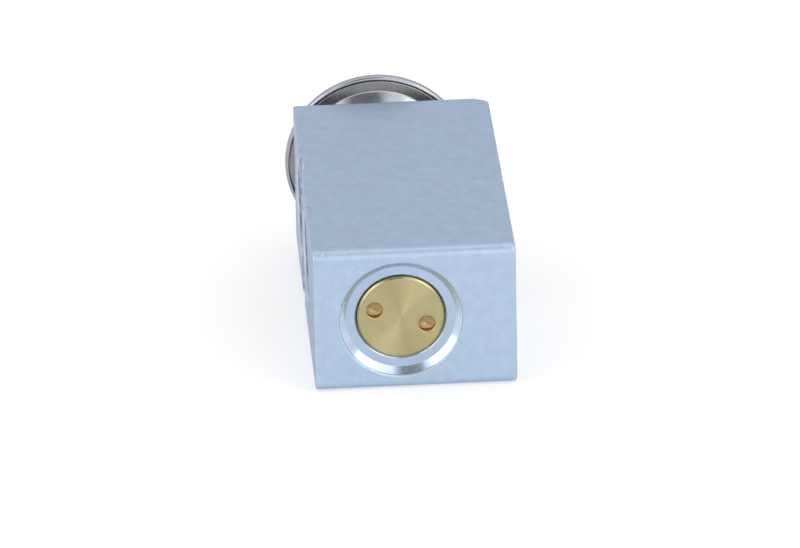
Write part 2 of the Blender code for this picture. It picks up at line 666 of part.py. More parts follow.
def make_ball_support(parent, material):
    """Turned support: ball cone in the nose, flange on the coil spring, spigot inside the coil."""
    bevel = SUPPORT_SPIGOT_BEVEL
    spigot_end = SUPPORT_FLANGE_FOOT - SUPPORT_SPIGOT_LENGTH
    cone_rim_radius = SUPPORT_TOP - SUPPORT_CONE_APEX
    outline = [
        (0, SUPPORT_CONE_APEX),
        (cone_rim_radius, SUPPORT_TOP),
        (SUPPORT_NOSE_RADIUS, SUPPORT_TOP),
        (SUPPORT_NOSE_RADIUS, SUPPORT_FLANGE_TOP),
        (SUPPORT_FLANGE_RADIUS, SUPPORT_FLANGE_TOP),
        (SUPPORT_FLANGE_RADIUS, SUPPORT_FLANGE_FOOT),
        (SUPPORT_SPIGOT_RADIUS, SUPPORT_FLANGE_FOOT),
        (SUPPORT_SPIGOT_RADIUS, spigot_end + bevel),
        (SUPPORT_SPIGOT_RADIUS - bevel, spigot_end),
        (0, spigot_end),
    ]
    turned("ball_support", outline, material, parent, SMALL_SEGMENTS, BALL_PLACE)


def make_vibration_spring(parent, material):
    """Thin leaf ring on the support's flange, its legs bent down along the chamber wall."""
    segments = 4 * LEAF_LEGS
    inner = SUPPORT_NOSE_RADIUS + SEAL_GAP
    outer = SUPPORT_FLANGE_RADIUS - SHEET_GAP
    top = SUPPORT_FLANGE_TOP + SHEET_GAP + LEAF_THICKNESS / 2 - BALL_PLACE
    bend = (LEAF_LEG_RADIUS - outer) / 2
    leg = arc((outer + bend, top - bend), bend, 90, 0, 3)
    leg = [(radius, along) for radius, along in leg if along > top - bend]
    leg.append((LEAF_LEG_RADIUS, top - LEAF_LEG_LENGTH))
    bm = bmesh.new()
    loops = []
    for radius in (inner, outer):
        loop = []
        for index in range(segments):
            angle = tau * (index + 0.5) / segments
            loop.append(bm.verts.new(Vector((radius * cos(angle), top, radius * sin(angle))) * MM))
        loops.append(loop)
    for index in range(segments):
        after = (index + 1) % segments
        bm.faces.new((loops[0][index], loops[0][after], loops[1][after], loops[1][index]))
    for number in range(LEAF_LEGS):
        first = number * 4 + 1
        pair = (loops[1][first], loops[1][first + 1])
        middle = tau * (first + 1) / segments
        out = Vector((cos(middle), 0, sin(middle)))
        half = (pair[1].co - pair[0].co) / 2
        for radius, along in leg:
            centre = (out * radius + Vector((0, along, 0))) * MM
            following = (bm.verts.new(centre - half), bm.verts.new(centre + half))
            bm.faces.new((pair[0], pair[1], following[1], following[0]))
            pair = following
    made = new_object("vibration_spring", bm, material, BALL_PLACE, parent)
    sheet = made.modifiers.new("leaf", "SOLIDIFY")
    sheet.thickness = LEAF_THICKNESS * MM
    sheet.offset = 0.0
    sheet.use_even_offset = True


def make_valve_ball(parent, material):
    """The ball under the orifice."""
    bm = bmesh.new()
    bmesh.ops.create_icosphere(bm, subdivisions=3, radius=BALL_RADIUS * MM)
    new_object("valve_ball", bm, material, BALL_PLACE, parent)


def make_seat_ring(parent, material):
    """Pressed-in ring with the orifice and the ball's cone."""
    end = SEAT_FACE + SEAT_RING_THICKNESS
    outline = [
        (ORIFICE_RADIUS + SEAT_CONE_DEPTH, SEAT_FACE),
        (SEAT_RING_RADIUS, SEAT_FACE),
        (SEAT_RING_RADIUS, end),
        (ORIFICE_RADIUS, end),
        (ORIFICE_RADIUS, SEAT_FACE + SEAT_CONE_DEPTH),
    ]
    turned("seat_ring", outline, material, parent, SMALL_SEGMENTS, SEAT_FACE)


def make_operating_rod(parent, material):
    """Thin rod that pushes the ball off its seat."""
    bevel = OPERATING_ROD_BEVEL
    outline = [
        (0, OPERATING_ROD_FOOT),
        (OPERATING_ROD_RADIUS - bevel, OPERATING_ROD_FOOT),
        (OPERATING_ROD_RADIUS, OPERATING_ROD_FOOT + bevel),
        (OPERATING_ROD_RADIUS, OPERATING_ROD_TOP - bevel),
        (OPERATING_ROD_RADIUS - bevel, OPERATING_ROD_TOP),
        (0, OPERATING_ROD_TOP),
    ]
    turned("operating_rod", outline, material, parent, SMALL_SEGMENTS, OPERATING_ROD_FOOT)


def make_heat_sensing_rod(parent, material):
    """Rod across the suction passage, with a waist for its sleeve."""
    bevel = SENSING_ROD_BEVEL
    waist_start = SUCTION_FLOOR + SLEEVE_END_GAP
    waist_end = SUCTION_TOP - SLEEVE_END_GAP
    outline = [
        (0, SENSING_ROD_FOOT),
        (SENSING_ROD_RADIUS - bevel, SENSING_ROD_FOOT),
        (SENSING_ROD_RADIUS, SENSING_ROD_FOOT + bevel),
        (SENSING_ROD_RADIUS, waist_start),
        (WAIST_RADIUS, waist_start),
        (WAIST_RADIUS, waist_end),
        (SENSING_ROD_RADIUS, waist_end),
        (SENSING_ROD_RADIUS, SENSING_ROD_TOP - bevel),
        (SENSING_ROD_RADIUS - bevel, SENSING_ROD_TOP),
        (0, SENSING_ROD_TOP),
    ]
    turned(
        "heat_sensing_rod", outline, material, parent, SMALL_SEGMENTS, SENSING_ROD_FOOT
    )


def make_rod_sleeve(parent, material):
    """Slit resin sleeve that snaps on the rod's waist."""
    steps = SMALL_SEGMENTS - 4
    foot = SUCTION_FLOOR + SLEEVE_END_GAP + SHEET_GAP
    length = 2 * (SUCTION_BORE_RADIUS - SLEEVE_END_GAP - SHEET_GAP)
    open_half = SLEEVE_SLIT_ANGLE / 2
    outline = arc((0, 0), SLEEVE_RADIUS, open_half, 360 - open_half, steps)
    outline += arc((0, 0), SLEEVE_BORE_RADIUS, 360 - open_half, open_half, steps)
    bm = bmesh.new()
    base = bm.faces.new([bm.verts.new(Vector((x, 0, z)) * MM) for x, z in outline])
    grown = bmesh.ops.extrude_face_region(bm, geom=[base])
    risen = [item for item in grown["geom"] if isinstance(item, bmesh.types.BMVert)]
    bmesh.ops.translate(bm, verts=risen, vec=Vector((0, length, 0)) * MM)
    new_object("rod_sleeve", bm, material, foot, parent)


def make_rod_seal(parent, rubber, resin, steel):
    """Back-up ring, O-ring and toothed push nut, stacked in the seal pocket."""
    inner = SENSING_ROD_RADIUS + SEAL_GAP
    outer = SEAL_POCKET_RADIUS - SEAL_GAP
    foot = BACKUP_RING_FOOT
    top = foot + BACKUP_RING_THICKNESS
    backup = [(inner, foot), (outer, foot), (outer, top), (inner, top)]
    turned("rod_backup_ring", backup, resin, parent, SMALL_SEGMENTS, foot)
    outline = ring_outline((inner + outer) / 2, ROD_SEAL_SECTION, ROD_SEAL_PLACE)
    turned("rod_seal_oring", outline, rubber, parent, SMALL_SEGMENTS, ROD_SEAL_PLACE)
    make_push_nut(parent, steel, inner, outer)


def make_push_nut(parent, material, inner, outer):
    """Dished washer whose teeth grip the wall of the seal pocket."""
    per_tooth = 3
    count = PUSH_NUT_TEETH * per_tooth
    flat = (inner + outer - PUSH_NUT_NOTCH) / 2
    bm = bmesh.new()
    loops = []
    for lift in (0.0, PUSH_NUT_THICKNESS):
        for reach, dish in ((inner, 0.0), (flat, 0.0), (outer, PUSH_NUT_DISH)):
            loop = []
            for index in range(count):
                notched = reach == outer and index % per_tooth == 0
                radius = reach - PUSH_NUT_NOTCH if notched else reach
                angle = tau * index / count
                along = lift + dish
                point = Vector((radius * cos(angle), along, radius * sin(angle)))
                loop.append(bm.verts.new(point * MM))
            loops.append(loop)
    under, over = loops[:3], loops[3:]
    around = under + list(reversed(over))
    for first, second in zip(around, around[1:] + around[:1]):
        for index in range(count):
            after = (index + 1) % count
            bm.faces.new((first[index], first[after], second[after], second[index]))
    new_object("push_nut", bm, material, PUSH_NUT_FOOT, parent)


def make_lower_cover(parent, material):
    """Stainless shell: threaded neck, seat on the block, shoulder and flange under the rim."""
    inset_along = COVER_THICKNESS * SHOULDER_RUN / SHOULDER_WALL
    slope = SHOULDER_RUN / SHOULDER_RISE
    floor_radius = COVER_SEAT_RADIUS - SHOULDER_INSET + slope * (COVER_THICKNESS - inset_along)
    bend = COVER_BEND
    outline = [
        (NECK_BORE_RADIUS, SOCKET_FLOOR + SEAT_GAP),
        (NECK_RADIUS - NECK_CHAMFER, SOCKET_FLOOR + SEAT_GAP),
        (NECK_RADIUS, SOCKET_FLOOR + SEAT_GAP + NECK_CHAMFER),
        (NECK_RADIUS, COVER_SEAT),
        (COVER_SEAT_RADIUS - bend, COVER_SEAT),
        (COVER_SEAT_RADIUS + slope * bend, COVER_SEAT + bend),
        (SHOULDER_RADIUS - slope * bend, SHOULDER_TOP - bend),
        (SHOULDER_RADIUS, SHOULDER_TOP),
        (LOWER_FLANGE_INNER_RADIUS, LOWER_FLANGE_FOOT),
        (FLANGE_RADIUS - bend / 2, LOWER_FLANGE_FOOT),
        (FLANGE_RADIUS, LOWER_FLANGE_FOOT + bend / 2),
        (FLANGE_RADIUS, LOWER_FLANGE_TOP),
        (SHOULDER_INNER_RADIUS + bend, LOWER_FLANGE_TOP),
        (SHOULDER_INNER_RADIUS, SHOULDER_TOP + inset_along),
        (floor_radius, COVER_FLOOR),
        (NECK_BORE_RADIUS, COVER_FLOOR),
    ]
    turned("lower_cover", outline, material, parent, HEAD_SEGMENTS, COVER_SEAT)


def make_head_seal_ring(parent, material):
    """Rubber ring in the block's mouth, round the head's neck."""
    mean_radius = NECK_RADIUS + SEAT_GAP + HEAD_SEAL_SECTION
    outline = ring_outline(mean_radius, HEAD_SEAL_SECTION, HEAD_SEAL_PLACE)
    turned("head_seal_ring", outline, material, parent, SEGMENTS, HEAD_SEAL_PLACE)


def make_stopper(parent, material):
    """Flanged disc under the diaphragm, its stem guided in the neck and holding the rod's top."""
    bevel = STOPPER_BEVEL
    socket_radius = SENSING_ROD_RADIUS + SEAT_GAP
    outline = [
        (0, STOPPER_TOP),
        (STOPPER_FLANGE_RADIUS - bevel, STOPPER_TOP),
        (STOPPER_FLANGE_RADIUS, STOPPER_TOP - bevel),
        (STOPPER_FLANGE_RADIUS, STOPPER_FOOT),
        (STOPPER_STEM_RADIUS, STOPPER_FOOT),
        (STOPPER_STEM_RADIUS, STOPPER_STEM_END + bevel),
        (STOPPER_STEM_RADIUS - bevel, STOPPER_STEM_END),
        (socket_radius, STOPPER_STEM_END),
        (socket_radius, STOPPER_STEM_END + ROD_SOCKET_DEPTH),
        (0, STOPPER_STEM_END + ROD_SOCKET_DEPTH),
    ]
    turned("stopper", outline, material, parent, SEGMENTS, STOPPER_FOOT)


def make_diaphragm(parent, material):
    """Thin disc, flat on the stopper, with two round waves up to its clamped rim."""
    centre_place = STOPPER_TOP + SEAL_GAP
    wave_start = STOPPER_FLANGE_RADIUS + SEAL_GAP
    wave_end = SHOULDER_INNER_RADIUS - SEAT_GAP
    steps = 4 * DIAPHRAGM_WAVES
    middle = [(0, centre_place)]
    for step in range(steps + 1):
        share = step / steps
        rise = (DIAPHRAGM_PLACE - centre_place) * share
        wave = DIAPHRAGM_WAVE * sin(DIAPHRAGM_WAVES * tau * share)
        middle.append((wave_start + (wave_end - wave_start) * share, centre_place + rise + wave))
    middle.append((FLANGE_RADIUS, DIAPHRAGM_PLACE))
    upper = [(radius, along + DIAPHRAGM_THICKNESS) for radius, along in middle]
    turned("diaphragm", middle + upper[::-1], material, parent, SMALL_SEGMENTS, DIAPHRAGM_PLACE)


def make_upper_cover(parent, material):
    """Stainless shell: rolled rim round the flanges, shallow dome, dimple with the filling hole."""
    dome = (DOME_RADIUS - DOME_ROUND, DOME_TOP - DOME_ROUND)
    skirt = (UPPER_FLANGE_INNER_RADIUS, UPPER_FLANGE_TOP + SKIRT_FOOT_ROUND)
    corner = RIM_RADIUS - RIM_ROUND
    dimple_foot = DIMPLE_RADIUS - DIMPLE_DEPTH
    outside = [(FILL_HOLE_RADIUS, DIMPLE_FLOOR), (dimple_foot, DIMPLE_FLOOR)]
    outside.append((DIMPLE_RADIUS, DOME_TOP))
    outside += arc(dome, DOME_ROUND, 90, SKIRT_ANGLE, 3)
    outside += arc(skirt, SKIRT_FOOT_ROUND, 180 + SKIRT_ANGLE, 270, 2)
    outside += arc((corner, UPPER_FLANGE_TOP - RIM_ROUND), RIM_ROUND, 90, 0, 3)
    outside += arc((corner, RIM_FOOT + RIM_ROUND), RIM_ROUND, 0, -RIM_LIP_ANGLE, 3)
    inside = [
        (RIM_BORE_RADIUS, LOWER_FLANGE_FOOT),
        (RIM_BORE_RADIUS, UPPER_FLANGE_FOOT),
        (UPPER_FLANGE_INNER_RADIUS - SKIRT_FOOT_ROUND / 2, UPPER_FLANGE_FOOT),
    ]
    inside += arc(dome, DOME_ROUND - UPPER_SHEET, SKIRT_ANGLE, 90, 2)
    inside += [
        (DIMPLE_RADIUS, DOME_TOP - UPPER_SHEET),
        (dimple_foot, DIMPLE_FLOOR - UPPER_SHEET),
        (FILL_HOLE_RADIUS, DIMPLE_FLOOR - UPPER_SHEET),
    ]
    turned("upper_cover", outside + inside, material, parent, HEAD_SEGMENTS, RIM_FOOT)


def make_charge_plug(parent, material):
    """Plug welded in the filling hole after the head is charged."""
    stem_foot = DIMPLE_FLOOR - UPPER_SHEET
    stem_radius = FILL_HOLE_RADIUS - SEAT_GAP
    edge = PLUG_HEAD_FOOT + PLUG_HEAD_EDGE
    rise = PLUG_HEAD_HEIGHT - PLUG_HEAD_EDGE
    outline = [
        (0, stem_foot),
        (stem_radius, stem_foot),
        (stem_radius, PLUG_HEAD_FOOT),
        (PLUG_HEAD_RADIUS, PLUG_HEAD_FOOT),
        (PLUG_HEAD_RADIUS, edge),
    ]
    outline += [
        (PLUG_HEAD_RADIUS * cos(radians(turn)), edge + rise * sin(radians(turn)))
        for turn in (30, 60)
    ]
    outline.append((0, edge + rise))
    turned("charge_plug", outline, material, parent, SMALL_SEGMENTS, PLUG_HEAD_FOOT)


def main():
    """Builds the valve under one empty that stands on the valve axis at the screw end."""
    clear_scene()
    axis = bpy.data.objects.new("valve_axis", None)
    bpy.context.scene.collection.objects.link(axis)
    axis.location = Vector((AXIS_X, AXIS_Y, AXIS_Z)) * MM

    aluminium = finish("matt_aluminium", (172, 188, 212), 0.42, 0.85)
    brass = finish("turned_brass", (190, 176, 128), 0.28, 1.0)
    stainless = finish("stainless_sheet", (168, 170, 176), 0.25, 1.0)
    steel = finish("spring_steel", (150, 152, 156), 0.3, 1.0)
    rubber = finish("black_rubber", (34, 35, 37), 0.6, 0.0)
    resin = finish("pale_resin", (222, 218, 204), 0.5, 0.0)

    make_block(axis, aluminium)
    make_adjusting_screw(axis, brass)
    make_adjusting_screw_oring(axis, rubber)
    make_valve_spring(axis, steel)
    make_ball_support(axis, brass)
    make_vibration_spring(axis, stainless)
    make_valve_ball(axis, steel)
    make_seat_ring(axis, stainless)
    make_operating_rod(axis, stainless)
    make_heat_sensing_rod(axis, aluminium)
    make_rod_sleeve(axis, resin)
    make_rod_seal(axis, rubber, resin, steel)
    make_lower_cover(axis, stainless)
    make_head_seal_ring(axis, rubber)
    make_stopper(axis, brass)
    make_diaphragm(axis, stainless)
    make_upper_cover(axis, stainless)
    make_charge_plug(axis, steel)
    bpy.context.view_layer.update()


main()
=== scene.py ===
"""Dressed scene of a block-type thermal expansion valve that lies on its side.

The valve axis runs along +Y from the brass adjusting screw to the pressure head. Sizes are in
millimetres: radii from a piece's own axis, and places along the valve axis from the block's
screw end. Meshes are in metres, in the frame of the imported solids.
"""

import json
import logging
import random
from dataclasses import dataclass, field, replace
from enum import Enum
from functools import cache
from math import ceil, cos, pi, radians, sin, sqrt, tan, tau
from typing import Any, Iterable, NamedTuple, Sequence

import bmesh
import bpy
from mathutils import Matrix, Vector

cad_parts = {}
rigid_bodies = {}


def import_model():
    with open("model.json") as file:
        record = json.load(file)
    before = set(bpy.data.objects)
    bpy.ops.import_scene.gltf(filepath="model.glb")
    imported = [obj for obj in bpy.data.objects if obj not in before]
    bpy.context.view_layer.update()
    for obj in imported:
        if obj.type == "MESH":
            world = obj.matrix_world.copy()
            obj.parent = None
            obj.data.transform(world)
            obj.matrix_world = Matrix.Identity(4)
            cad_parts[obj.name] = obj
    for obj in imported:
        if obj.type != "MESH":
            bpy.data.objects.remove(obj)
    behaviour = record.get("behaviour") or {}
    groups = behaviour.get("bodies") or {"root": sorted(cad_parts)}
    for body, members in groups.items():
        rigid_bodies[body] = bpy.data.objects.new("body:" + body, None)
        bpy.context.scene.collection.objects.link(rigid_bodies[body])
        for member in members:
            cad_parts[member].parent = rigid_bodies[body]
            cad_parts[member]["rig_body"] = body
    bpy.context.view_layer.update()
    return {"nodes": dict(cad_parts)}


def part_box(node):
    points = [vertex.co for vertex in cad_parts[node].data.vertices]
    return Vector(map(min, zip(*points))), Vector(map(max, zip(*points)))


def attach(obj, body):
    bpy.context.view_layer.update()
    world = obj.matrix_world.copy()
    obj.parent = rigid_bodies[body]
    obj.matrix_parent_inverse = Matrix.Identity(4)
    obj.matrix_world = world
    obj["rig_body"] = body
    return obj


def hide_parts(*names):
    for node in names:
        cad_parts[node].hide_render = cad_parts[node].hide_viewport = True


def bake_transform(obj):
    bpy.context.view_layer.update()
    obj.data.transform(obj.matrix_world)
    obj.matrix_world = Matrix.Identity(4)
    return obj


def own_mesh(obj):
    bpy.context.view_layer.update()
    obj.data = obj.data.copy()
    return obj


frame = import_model()

MM = 0.001
SHARP = radians(34)
Corner = tuple[float, ...]
Colour = tuple[int, int, int]
log = logging.getLogger("valve")


class Slot(Enum):
    """The record's material slots."""

    ALUMINIUM = "matt_aluminium"
    BRASS = "turned_brass"
    SHEET = "stainless_sheet"
    STEEL = "spring_steel"
    RUBBER = "black_rubber"
    RESIN = "pale_resin"


class Step(NamedTuple):
    """One step of the valve's bore: its radius, far end, and the roundings at both ends."""

    radius: float
    end: float
    near_round: float
    far_round: float


class Axis(Enum):
    """The direction that a surface was turned or bored along."""

    ALONG = (0.0, 1.0, 0.0)
    ACROSS = (1.0, 0.0, 0.0)


# Finishes


def linear(colour: Colour) -> tuple[float, float, float, float]:
    """Turns a display colour into Blender's linear values.

    Args:
        colour: Three values from 0 to 255.

    Returns:
        Linear red, green and blue, and an alpha of 1.
    """
    shares = [channel / 255 for channel in colour]
    made = [s / 12.92 if s <= 0.04045 else ((s + 0.055) / 1.055) ** 2.4 for s in shares]
    return (made[0], made[1], made[2], 1.0)


class NodeBench:
    """Short calls that lay out the nodes of a material or of the surroundings."""

    def __init__(self, owner: bpy.types.Material | bpy.types.World) -> None:
        """Starts on the owner's own shader.

        Args:
            owner: The material or world that the nodes are for.
        """
        owner.use_nodes = True
        self.owner, self.tree = owner, owner.node_tree
        is_world = isinstance(owner, bpy.types.World)
        self.shader = self.tree.nodes["Background" if is_world else "Principled BSDF"]

    def add(self, kind: str, values: dict[Any, Any] | None = None, **settings: Any) -> Any:
        """Adds a node.

        Args:
            kind: The node's type, without its ShaderNode prefix.
            values: What goes into each input: another node's output, or a plain value.
            settings: The node's own options.

        Returns:
            The new node.
        """
        node = self.tree.nodes.new(f"ShaderNode{kind}")
        for option, value in settings.items():
            setattr(node, option, value)
        for key, value in (values or {}).items():
            self.set(node.inputs[key], value)
        return node

    def set(self, socket: Any, value: Any) -> None:
        """Links or sets one input.

        Args:
            socket: The input.
            value: Another node's output, or a plain value.
        """
        if isinstance(value, bpy.types.NodeSocket):
            self.tree.links.new(value, socket)
        else:
            socket.default_value = value

    def point(
        self, centre: Sequence[float] = (0, 0, 0), stretch: Sequence[float] = (1, 1, 1)
    ) -> Any:
        """The surface point in millimetres, in the piece's own frame.

        Args:
            centre: The point that becomes the origin.
            stretch: A further scale for each direction.

        Returns:
            A vector output.
        """
        place = self.add("TexCoord").outputs["Object"]
        scale = [s / MM for s in stretch]
        shift = [-c * s for c, s in zip(centre, stretch)]
        return self.add("Mapping", {"Vector": place, "Scale": scale, "Location": shift}).outputs[0]

    def noise(self, place: Any, scale: float, detail: float = 2.0, **values: Any) -> Any:
        """A noise value from 0 to 1, with scale in features per millimetre."""
        inputs = {"Vector": place, "Scale": scale, "Detail": detail, **values}
        return self.add("TexNoise", inputs).outputs[0]

    def span(
        self, value: Any, start: float, end: float, low: float = 0.0, high: float = 1.0
    ) -> Any:
        """A value that runs from low at start to high at end, clamped."""
        limits = {"From Min": start, "From Max": end, "To Min": low, "To Max": high}
        return self.add("MapRange", {"Value": value, **limits}).outputs[0]

    def maths(self, operation: str, first: Any, second: Any = 0.0) -> Any:
        """One arithmetic step, by Blender's name for it."""
        return self.add("Math", {0: first, 1: second}, operation=operation).outputs[0]

    def vector(self, operation: str, first: Any, second: Any = (0, 0, 0)) -> Any:
        """One vector step, by Blender's name for it: a value for a length or a dot product."""
        node = self.add("VectorMath", {0: first, 1: second}, operation=operation)
        return node.outputs["Value" if operation in ("LENGTH", "DOT_PRODUCT") else "Vector"]

    def blend(self, share: Any, first: Any, second: Any) -> Any:
        """Two colours mixed, where share is how much of the second."""
        return self.add("Mix", {0: share, 6: first, 7: second}, data_type="RGBA").outputs[2]

    def dress(self, **values: Any) -> Any:
        """Fills the shader's own inputs.

        Args:
            values: Input names with underscores for spaces.

        Returns:
            The finished material or world.
        """
        for key, value in values.items():
            self.set(self.shader.inputs[key.replace("_", " ")], value)
        return self.owner


@dataclass(frozen=True)
class Metal:
    """Bare metal with the marks of how it was worked.

    The grain is a fine all-over texture, the rings are turning or boring marks round the axis,
    the streaks are die lines along the bar, and the scratches are stray fine lines.
    """

    name: str
    colour: Colour
    second: Colour
    smooth: float
    rough: float
    grain: float = 0.15
    grain_scale: float = 6.0
    rings: float = 0.0
    ring_scale: float = 5.0
    streaks: float = 0.0
    scratches: float = 0.0
    wear: float = 0.0
    anisotropy: float = 0.0
    grazing: Colour = (255, 255, 255)
    axis: Axis = Axis.ALONG
    centre: tuple[float, float, float] = (0.0, 0.0, 0.0)

    def make(self) -> bpy.types.Material:
        """Lays out the finish's nodes."""
        bench = NodeBench(bpy.data.materials.new(self.name))
        place = bench.point(self.centre)
        across = [1.0 - part for part in self.axis.value]
        radial = bench.vector("MULTIPLY", place, across)
        mottle = bench.span(bench.noise(place, 0.45, 4.0), 0.32, 0.68)
        fine = bench.noise(place, self.grain_scale, 3.0)
        shade = bench.blend(mottle, linear(self.colour), linear(self.second))
        height = bench.maths("MULTIPLY", fine, self.grain)
        uneven = bench.span(fine, 0.3, 0.7, -0.03, 0.03)
        if self.rings:
            distance = bench.vector("LENGTH", radial)
            depth = bench.vector("DOT_PRODUCT", place, self.axis.value)
            reach = bench.add("CombineXYZ", {0: distance, 1: depth}).outputs[0]
            ring = bench.noise(reach, self.ring_scale, 4.0, Roughness=0.7)
            height = bench.maths("ADD", height, bench.maths("MULTIPLY", ring, self.rings))
            uneven = bench.maths("ADD", uneven, bench.span(ring, 0.3, 0.7, -0.05, 0.05))
        if self.streaks:
            line = bench.noise(bench.point(stretch=(0.04, 1.6, 1.6)), 1.0, 4.0)
            height = bench.maths("ADD", height, bench.maths("MULTIPLY", line, self.streaks))
            uneven = bench.maths("ADD", uneven, bench.span(line, 0.3, 0.7, -0.03, 0.03))
        if self.scratches:
            shade, height = self.add_scratches(bench, shade, height)
        if self.wear:
            shade, uneven = self.add_wear(bench, shade, uneven)
        base = bench.span(bench.noise(place, 1.3, 3.0), 0.3, 0.7, self.smooth, self.rough)
        bump = bench.add("Bump", {"Height": height, "Distance": 0.03 * MM, "Strength": 0.5})
        values = {
            "Base_Color": shade,
            "Metallic": 1.0,
            "Roughness": bench.maths("ADD", base, uneven),
            "Normal": bump.outputs[0],
            "Specular_Tint": linear(self.grazing),
        }
        if self.anisotropy:
            lean = [0.6 * part for part in self.axis.value]
            grain = bench.vector("ADD", bench.vector("NORMALIZE", radial), lean)
            turned = bench.add(
                "VectorTransform",
                {0: grain},
                vector_type="VECTOR",
                convert_from="OBJECT",
                convert_to="WORLD",
            )
            values |= {"Anisotropic": self.anisotropy, "Tangent": turned.outputs[0]}
        return bench.dress(**values)

    def add_scratches(self, bench: NodeBench, shade: Any, height: Any) -> tuple[Any, Any]:
        """Adds stray lines in two directions.

        Args:
            bench: The finish's nodes.
            shade: The colour so far.
            height: The bump height so far.

        Returns:
            The colour and the height with the lines.
        """
        for turn, stretch in ((0.5, (0.06, 2.4, 1.1)), (-0.9, (1.9, 0.05, 1.3))):
            turned = bench.add(
                "Mapping", {"Vector": bench.point(), "Rotation": (0.15, 0.1, turn)}
            ).outputs[0]
            drawn = bench.add("Mapping", {"Vector": turned, "Scale": stretch}).outputs[0]
            lines = bench.span(bench.noise(drawn, 1.0, 2.0), 0.71, 0.76, 0.0, self.scratches)
            shade = bench.blend(lines, shade, linear((226, 234, 242)))
            height = bench.maths("SUBTRACT", height, bench.maths("MULTIPLY", lines, 0.6))
        return shade, height

    def add_wear(self, bench: NodeBench, shade: Any, uneven: Any) -> tuple[Any, Any]:
        """Rubs the edges brighter and smoother.

        Args:
            bench: The finish's nodes.
            shade: The colour so far.
            uneven: What is added to the roughness so far.

        Returns:
            The colour and the roughness change with the rubbed edges.
        """
        eased = bench.add("Bevel", {"Radius": 0.45 * MM}, samples=6).outputs[0]
        plain = bench.add("NewGeometry").outputs["Normal"]
        turned = bench.vector("DOT_PRODUCT", eased, plain)
        patch = bench.span(bench.noise(bench.point(), 1.1, 3.0), 0.35, 0.6, 0.4, 1.0)
        edge = bench.maths("MULTIPLY", bench.span(turned, 0.995, 0.93, 0.0, self.wear), patch)
        shade = bench.blend(edge, shade, linear((214, 225, 236)))
        return shade, bench.maths("SUBTRACT", uneven, bench.maths("MULTIPLY", edge, 0.15))


@dataclass(frozen=True)
class Moulded:
    """Rubber or resin as it leaves the mould; also the near-black painted shade of the block's
    pit.
    """

    name: str
    colour: Colour
    second: Colour
    smooth: float
    rough: float
    grain: float = 0.3

    def make(self) -> bpy.types.Material:
        """Lays out the finish's nodes."""
        bench = NodeBench(bpy.data.materials.new(self.name))
        place = bench.point()
        cloud = bench.span(bench.noise(place, 0.8, 3.0), 0.35, 0.65)
        fine = bench.noise(place, 9.0, 3.0)
        height = bench.maths("MULTIPLY", fine, self.grain)
        bump = bench.add("Bump", {"Height": height, "Distance": 0.03 * MM, "Strength": 0.6})
        return bench.dress(
            Base_Color=bench.blend(cloud, linear(self.colour), linear(self.second)),
            Roughness=bench.span(fine, 0.3, 0.7, self.smooth, self.rough),
            Normal=bump.outputs[0],
        )


BAR_COLOURS: tuple[Colour, Colour] = ((171, 191, 213), (179, 199, 220))
BAR_SKIN = Metal(
    "matt_bar_skin", *BAR_COLOURS, 0.40, 0.48,
    grain=0.5, streaks=0.25, scratches=0.35, wear=0.6, grazing=(216, 206, 216),
)
BORED = Metal(
    "bored_aluminium", (180, 194, 212), (190, 203, 220), 0.26, 0.34, rings=0.5, anisotropy=0.5
)
RECESS_FLOOR = Metal(
    "faced_aluminium", (171, 189, 212), (176, 194, 217), 0.34, 0.42,
    grain=0.35, rings=0.3, anisotropy=0.3,
)
CONE = Metal(
    "burnished_aluminium", (192, 208, 227), (200, 214, 231), 0.2, 0.26,
    grain=0.1, rings=0.2, anisotropy=0.3,
)
BRASS = Metal(
    "turned_brass_face", (179, 169, 127), (185, 174, 133), 0.36, 0.4,
    grain=0.03, rings=0.3, ring_scale=7.0, scratches=0.1, anisotropy=0.9,
)
# Painted light: a much lighter copy of the turned brass for the spanner holes' walls, standing in
# for the light bounced round inside them.
LIT_BRASS_HOLE = Metal(
    "brass_hole_painted_light", (232, 204, 158), (236, 208, 163), 0.24, 0.3, grain=0.1, rings=0.3
)
# Painted shade: a darker copy of the turned brass for the drilled cones at the bottom of the
# spanner holes.
SHADED_BRASS_CONE = Metal(
    "brass_cone_painted_shade", (164, 144, 101), (168, 148, 106), 0.3, 0.34, rings=0.2, anisotropy=0.9
)
BRASS_EDGE = Metal(
    "burnished_brass_edge", (190, 179, 136), (184, 172, 130), 0.24, 0.3, rings=0.2
)
DRAWN = Metal(
    "drawn_stainless", (166, 169, 177), (158, 161, 170), 0.16, 0.24,
    grain=0.15, rings=0.45, scratches=0.25, anisotropy=0.35,
)
HELD = Metal(
    "pressed_flange_stainless", (190, 179, 166), (182, 171, 158), 0.24, 0.32,
    grain=0.2, rings=0.35, scratches=0.2, anisotropy=0.35,
)
ROLLED = Metal(
    "rolled_stainless", (176, 178, 182), (168, 171, 176), 0.22, 0.3, grain=0.2, scratches=0.2
)
STEEL = Metal(
    "ground_steel", (152, 154, 158), (140, 142, 147), 0.2, 0.28, grain=0.1, scratches=0.1
)
WIRE = Metal(
    "spring_wire", (140, 143, 148), (122, 125, 131), 0.26, 0.36, grain=0.3, scratches=0.15
)
WELD = Metal("weld_steel", (150, 150, 152), (120, 116, 112), 0.3, 0.42, grain=0.5)
RUBBER = Moulded("moulded_rubber", (34, 35, 37), (42, 43, 45), 0.48, 0.6)
# Painted shade: near-black colour for the walls of the pit in the recess's rim.
PIT_SHADE = Moulded("painted_pit_shade", (30, 33, 38), (38, 41, 46), 0.6, 0.7)
RESIN = Moulded("moulded_resin", (222, 218, 204), (214, 209, 193), 0.38, 0.5, grain=0.2)


@cache
def material(finish: Metal | Moulded) -> bpy.types.Material:
    """The one shared material of a finish."""
    return finish.make()


# Shapes


